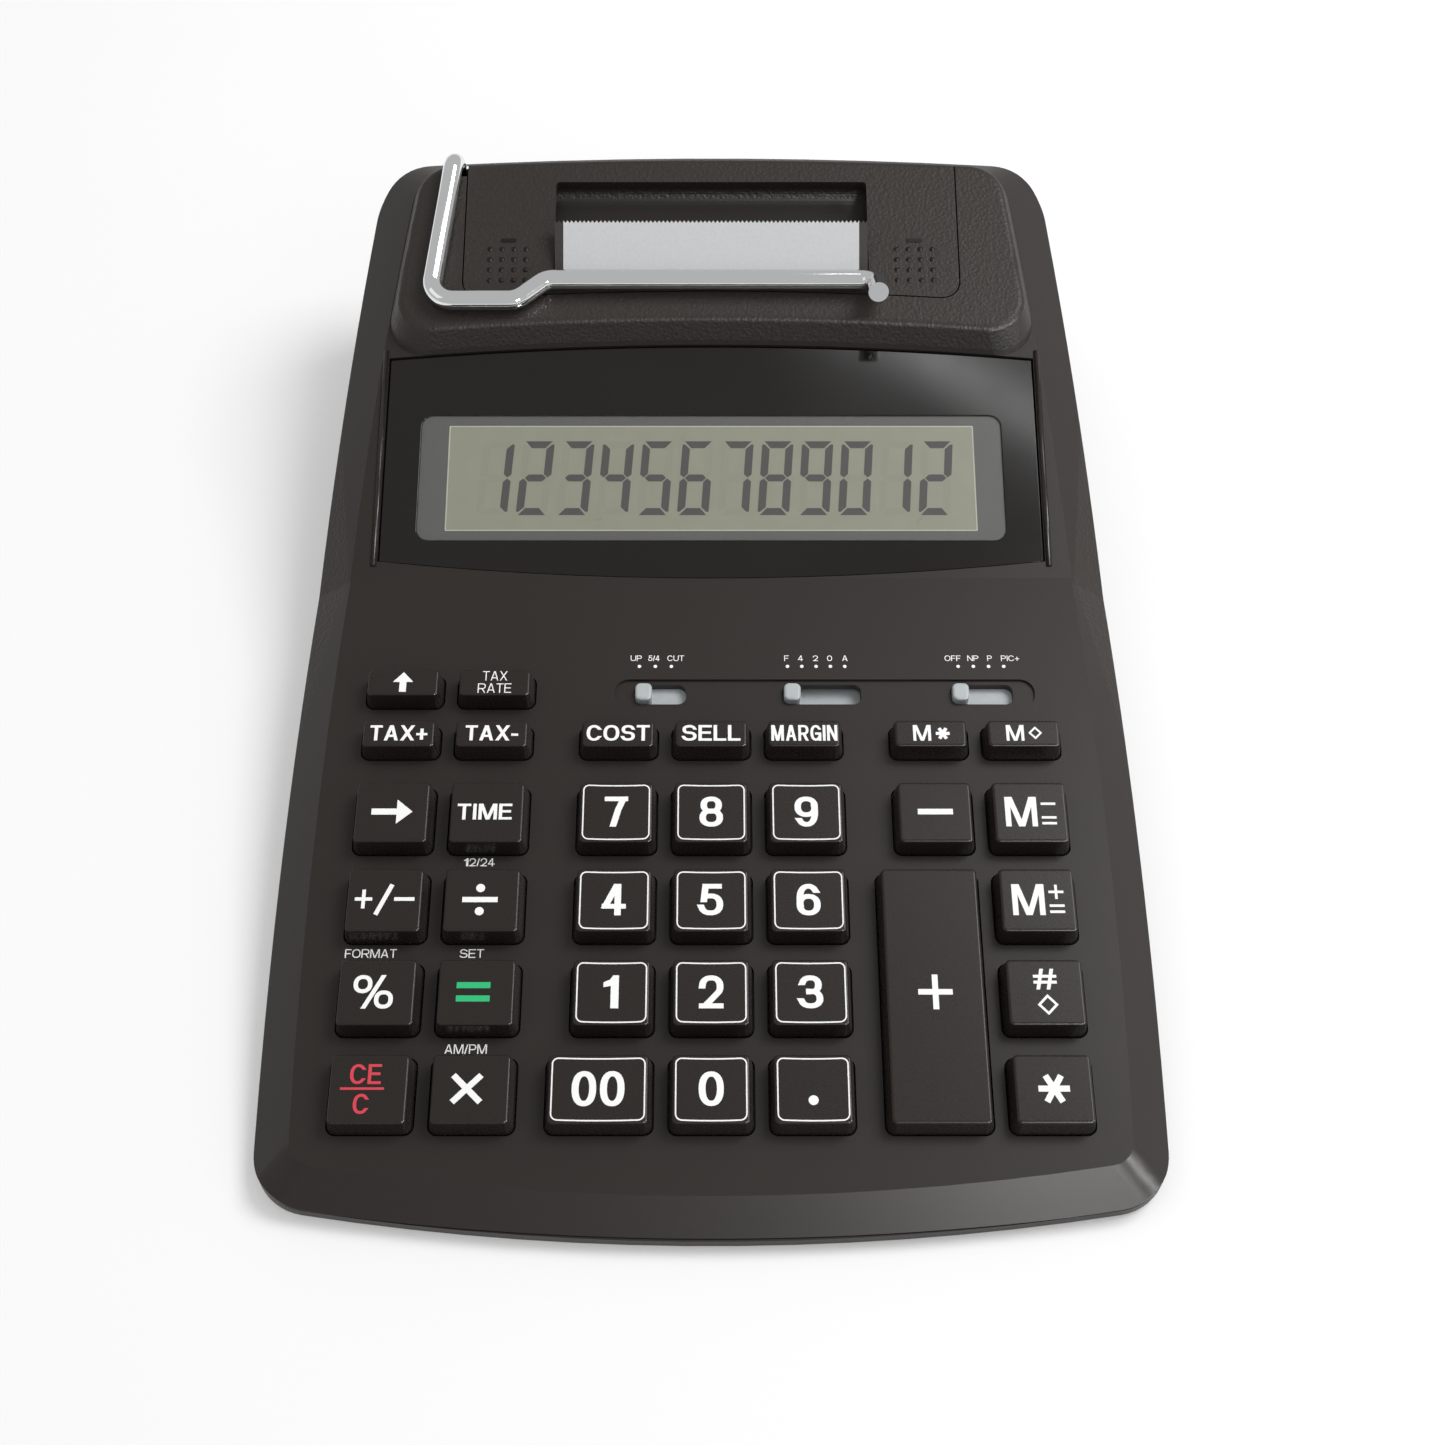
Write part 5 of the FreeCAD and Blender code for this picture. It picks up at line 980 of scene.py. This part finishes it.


# Near-black beads and dashes: painted shade for the shade inside the dimples and the recessed dash.
grip_painted_shade = satin_abs("grip_beads_painted_shade", "#0B0A09", 0.40, 0.5, 0.005, 0.25)
beads_tree = grip_tree(grip_painted_shade)
print("grip beads", GRIP_COUNT ** 2, "on each side")

# %% Lid grips
LID_TOP = 5.0
GRIP_ACROSS, GRIP_ALONG = 39.2, 63.6
DASH_ALONG = 69.0
DASH_WIDTH, DASH_HEIGHT, DASH_ROUND = 3.0, 0.8, 0.3
DASH_SINK, DASH_RISE = 0.02, 0.12
for name, side in (("left", -1), ("right", 1)):
    carrier = bpy.data.objects.new("grip_" + name, bpy.data.meshes.new("grip_" + name))
    scene.collection.objects.link(carrier)
    modifier = carrier.modifiers.new("beads", "NODES")
    modifier.node_group = beads_tree
    bpy.context.view_layer.update()
    mesh = bpy.data.meshes.new_from_object(carrier.evaluated_get(bpy.context.evaluated_depsgraph_get()))
    bpy.data.objects.remove(carrier)
    mesh.transform(ROOF @ Matrix.Translation(Vector((side * GRIP_ACROSS, GRIP_ALONG, LID_TOP)) * MM))
    mesh.shade_smooth()
    grip = bpy.data.objects.new(f"lid_grip_{name}", mesh)
    scene.collection.objects.link(grip)
    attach(grip, "printer_lid")
    dash = bmesh.new()
    dash_outline = rounded(DASH_WIDTH, DASH_HEIGHT, DASH_ROUND, side * GRIP_ACROSS, DASH_ALONG)
    prism(dash, dash_outline, LID_TOP - DASH_SINK, LID_TOP + DASH_RISE)
    finish_piece(f"lid_dash_{name}", dash, ROOF, grip_painted_shade, "printer_lid")
    print("lid grip", name, len(mesh.polygons), "faces")

# %% [markdown]
# Behind the tear plate the window opens on a dark moulded throat that guides the paper out. Its section is
# most of a quarter of an ellipse, hung from the rear edge of the window. It is the same all the way across,
# so it is drawn once, on a plane that stands along the middle, and drawn out to both sides.

# %% Paper throat
SECTION = ROOF @ Matrix(((0, 0, 1, 0), (1, 0, 0, 0), (0, 1, 0, 0), (0, 0, 0, 1)))
THROAT_FRONT, THROAT_TOP, THROAT_WALL = 72.4, 2.95, 0.8
THROAT_REACH, THROAT_DEPTH, THROAT_HALF = 10.0, 4.5, 31.5
THROAT_SWEEP, THROAT_PARTS = 75, 12


def throat_curve(grow):
    """Part of an ellipse along the throat, grown by a wall."""
    points = []
    for index in range(THROAT_PARTS + 1):
        angle = math.radians(THROAT_SWEEP * index / THROAT_PARTS)
        points.append((THROAT_FRONT + (THROAT_REACH + grow) * math.cos(angle),
                       THROAT_TOP - (THROAT_DEPTH + grow) * math.sin(angle)))
    return points


throat = bmesh.new()
prism(throat, throat_curve(0) + throat_curve(THROAT_WALL)[::-1], -THROAT_HALF, THROAT_HALF)
finish_piece("paper_throat", throat, SECTION, case_plastic, "printer_lid")
print("throat", 2 * THROAT_HALF, "mm across")
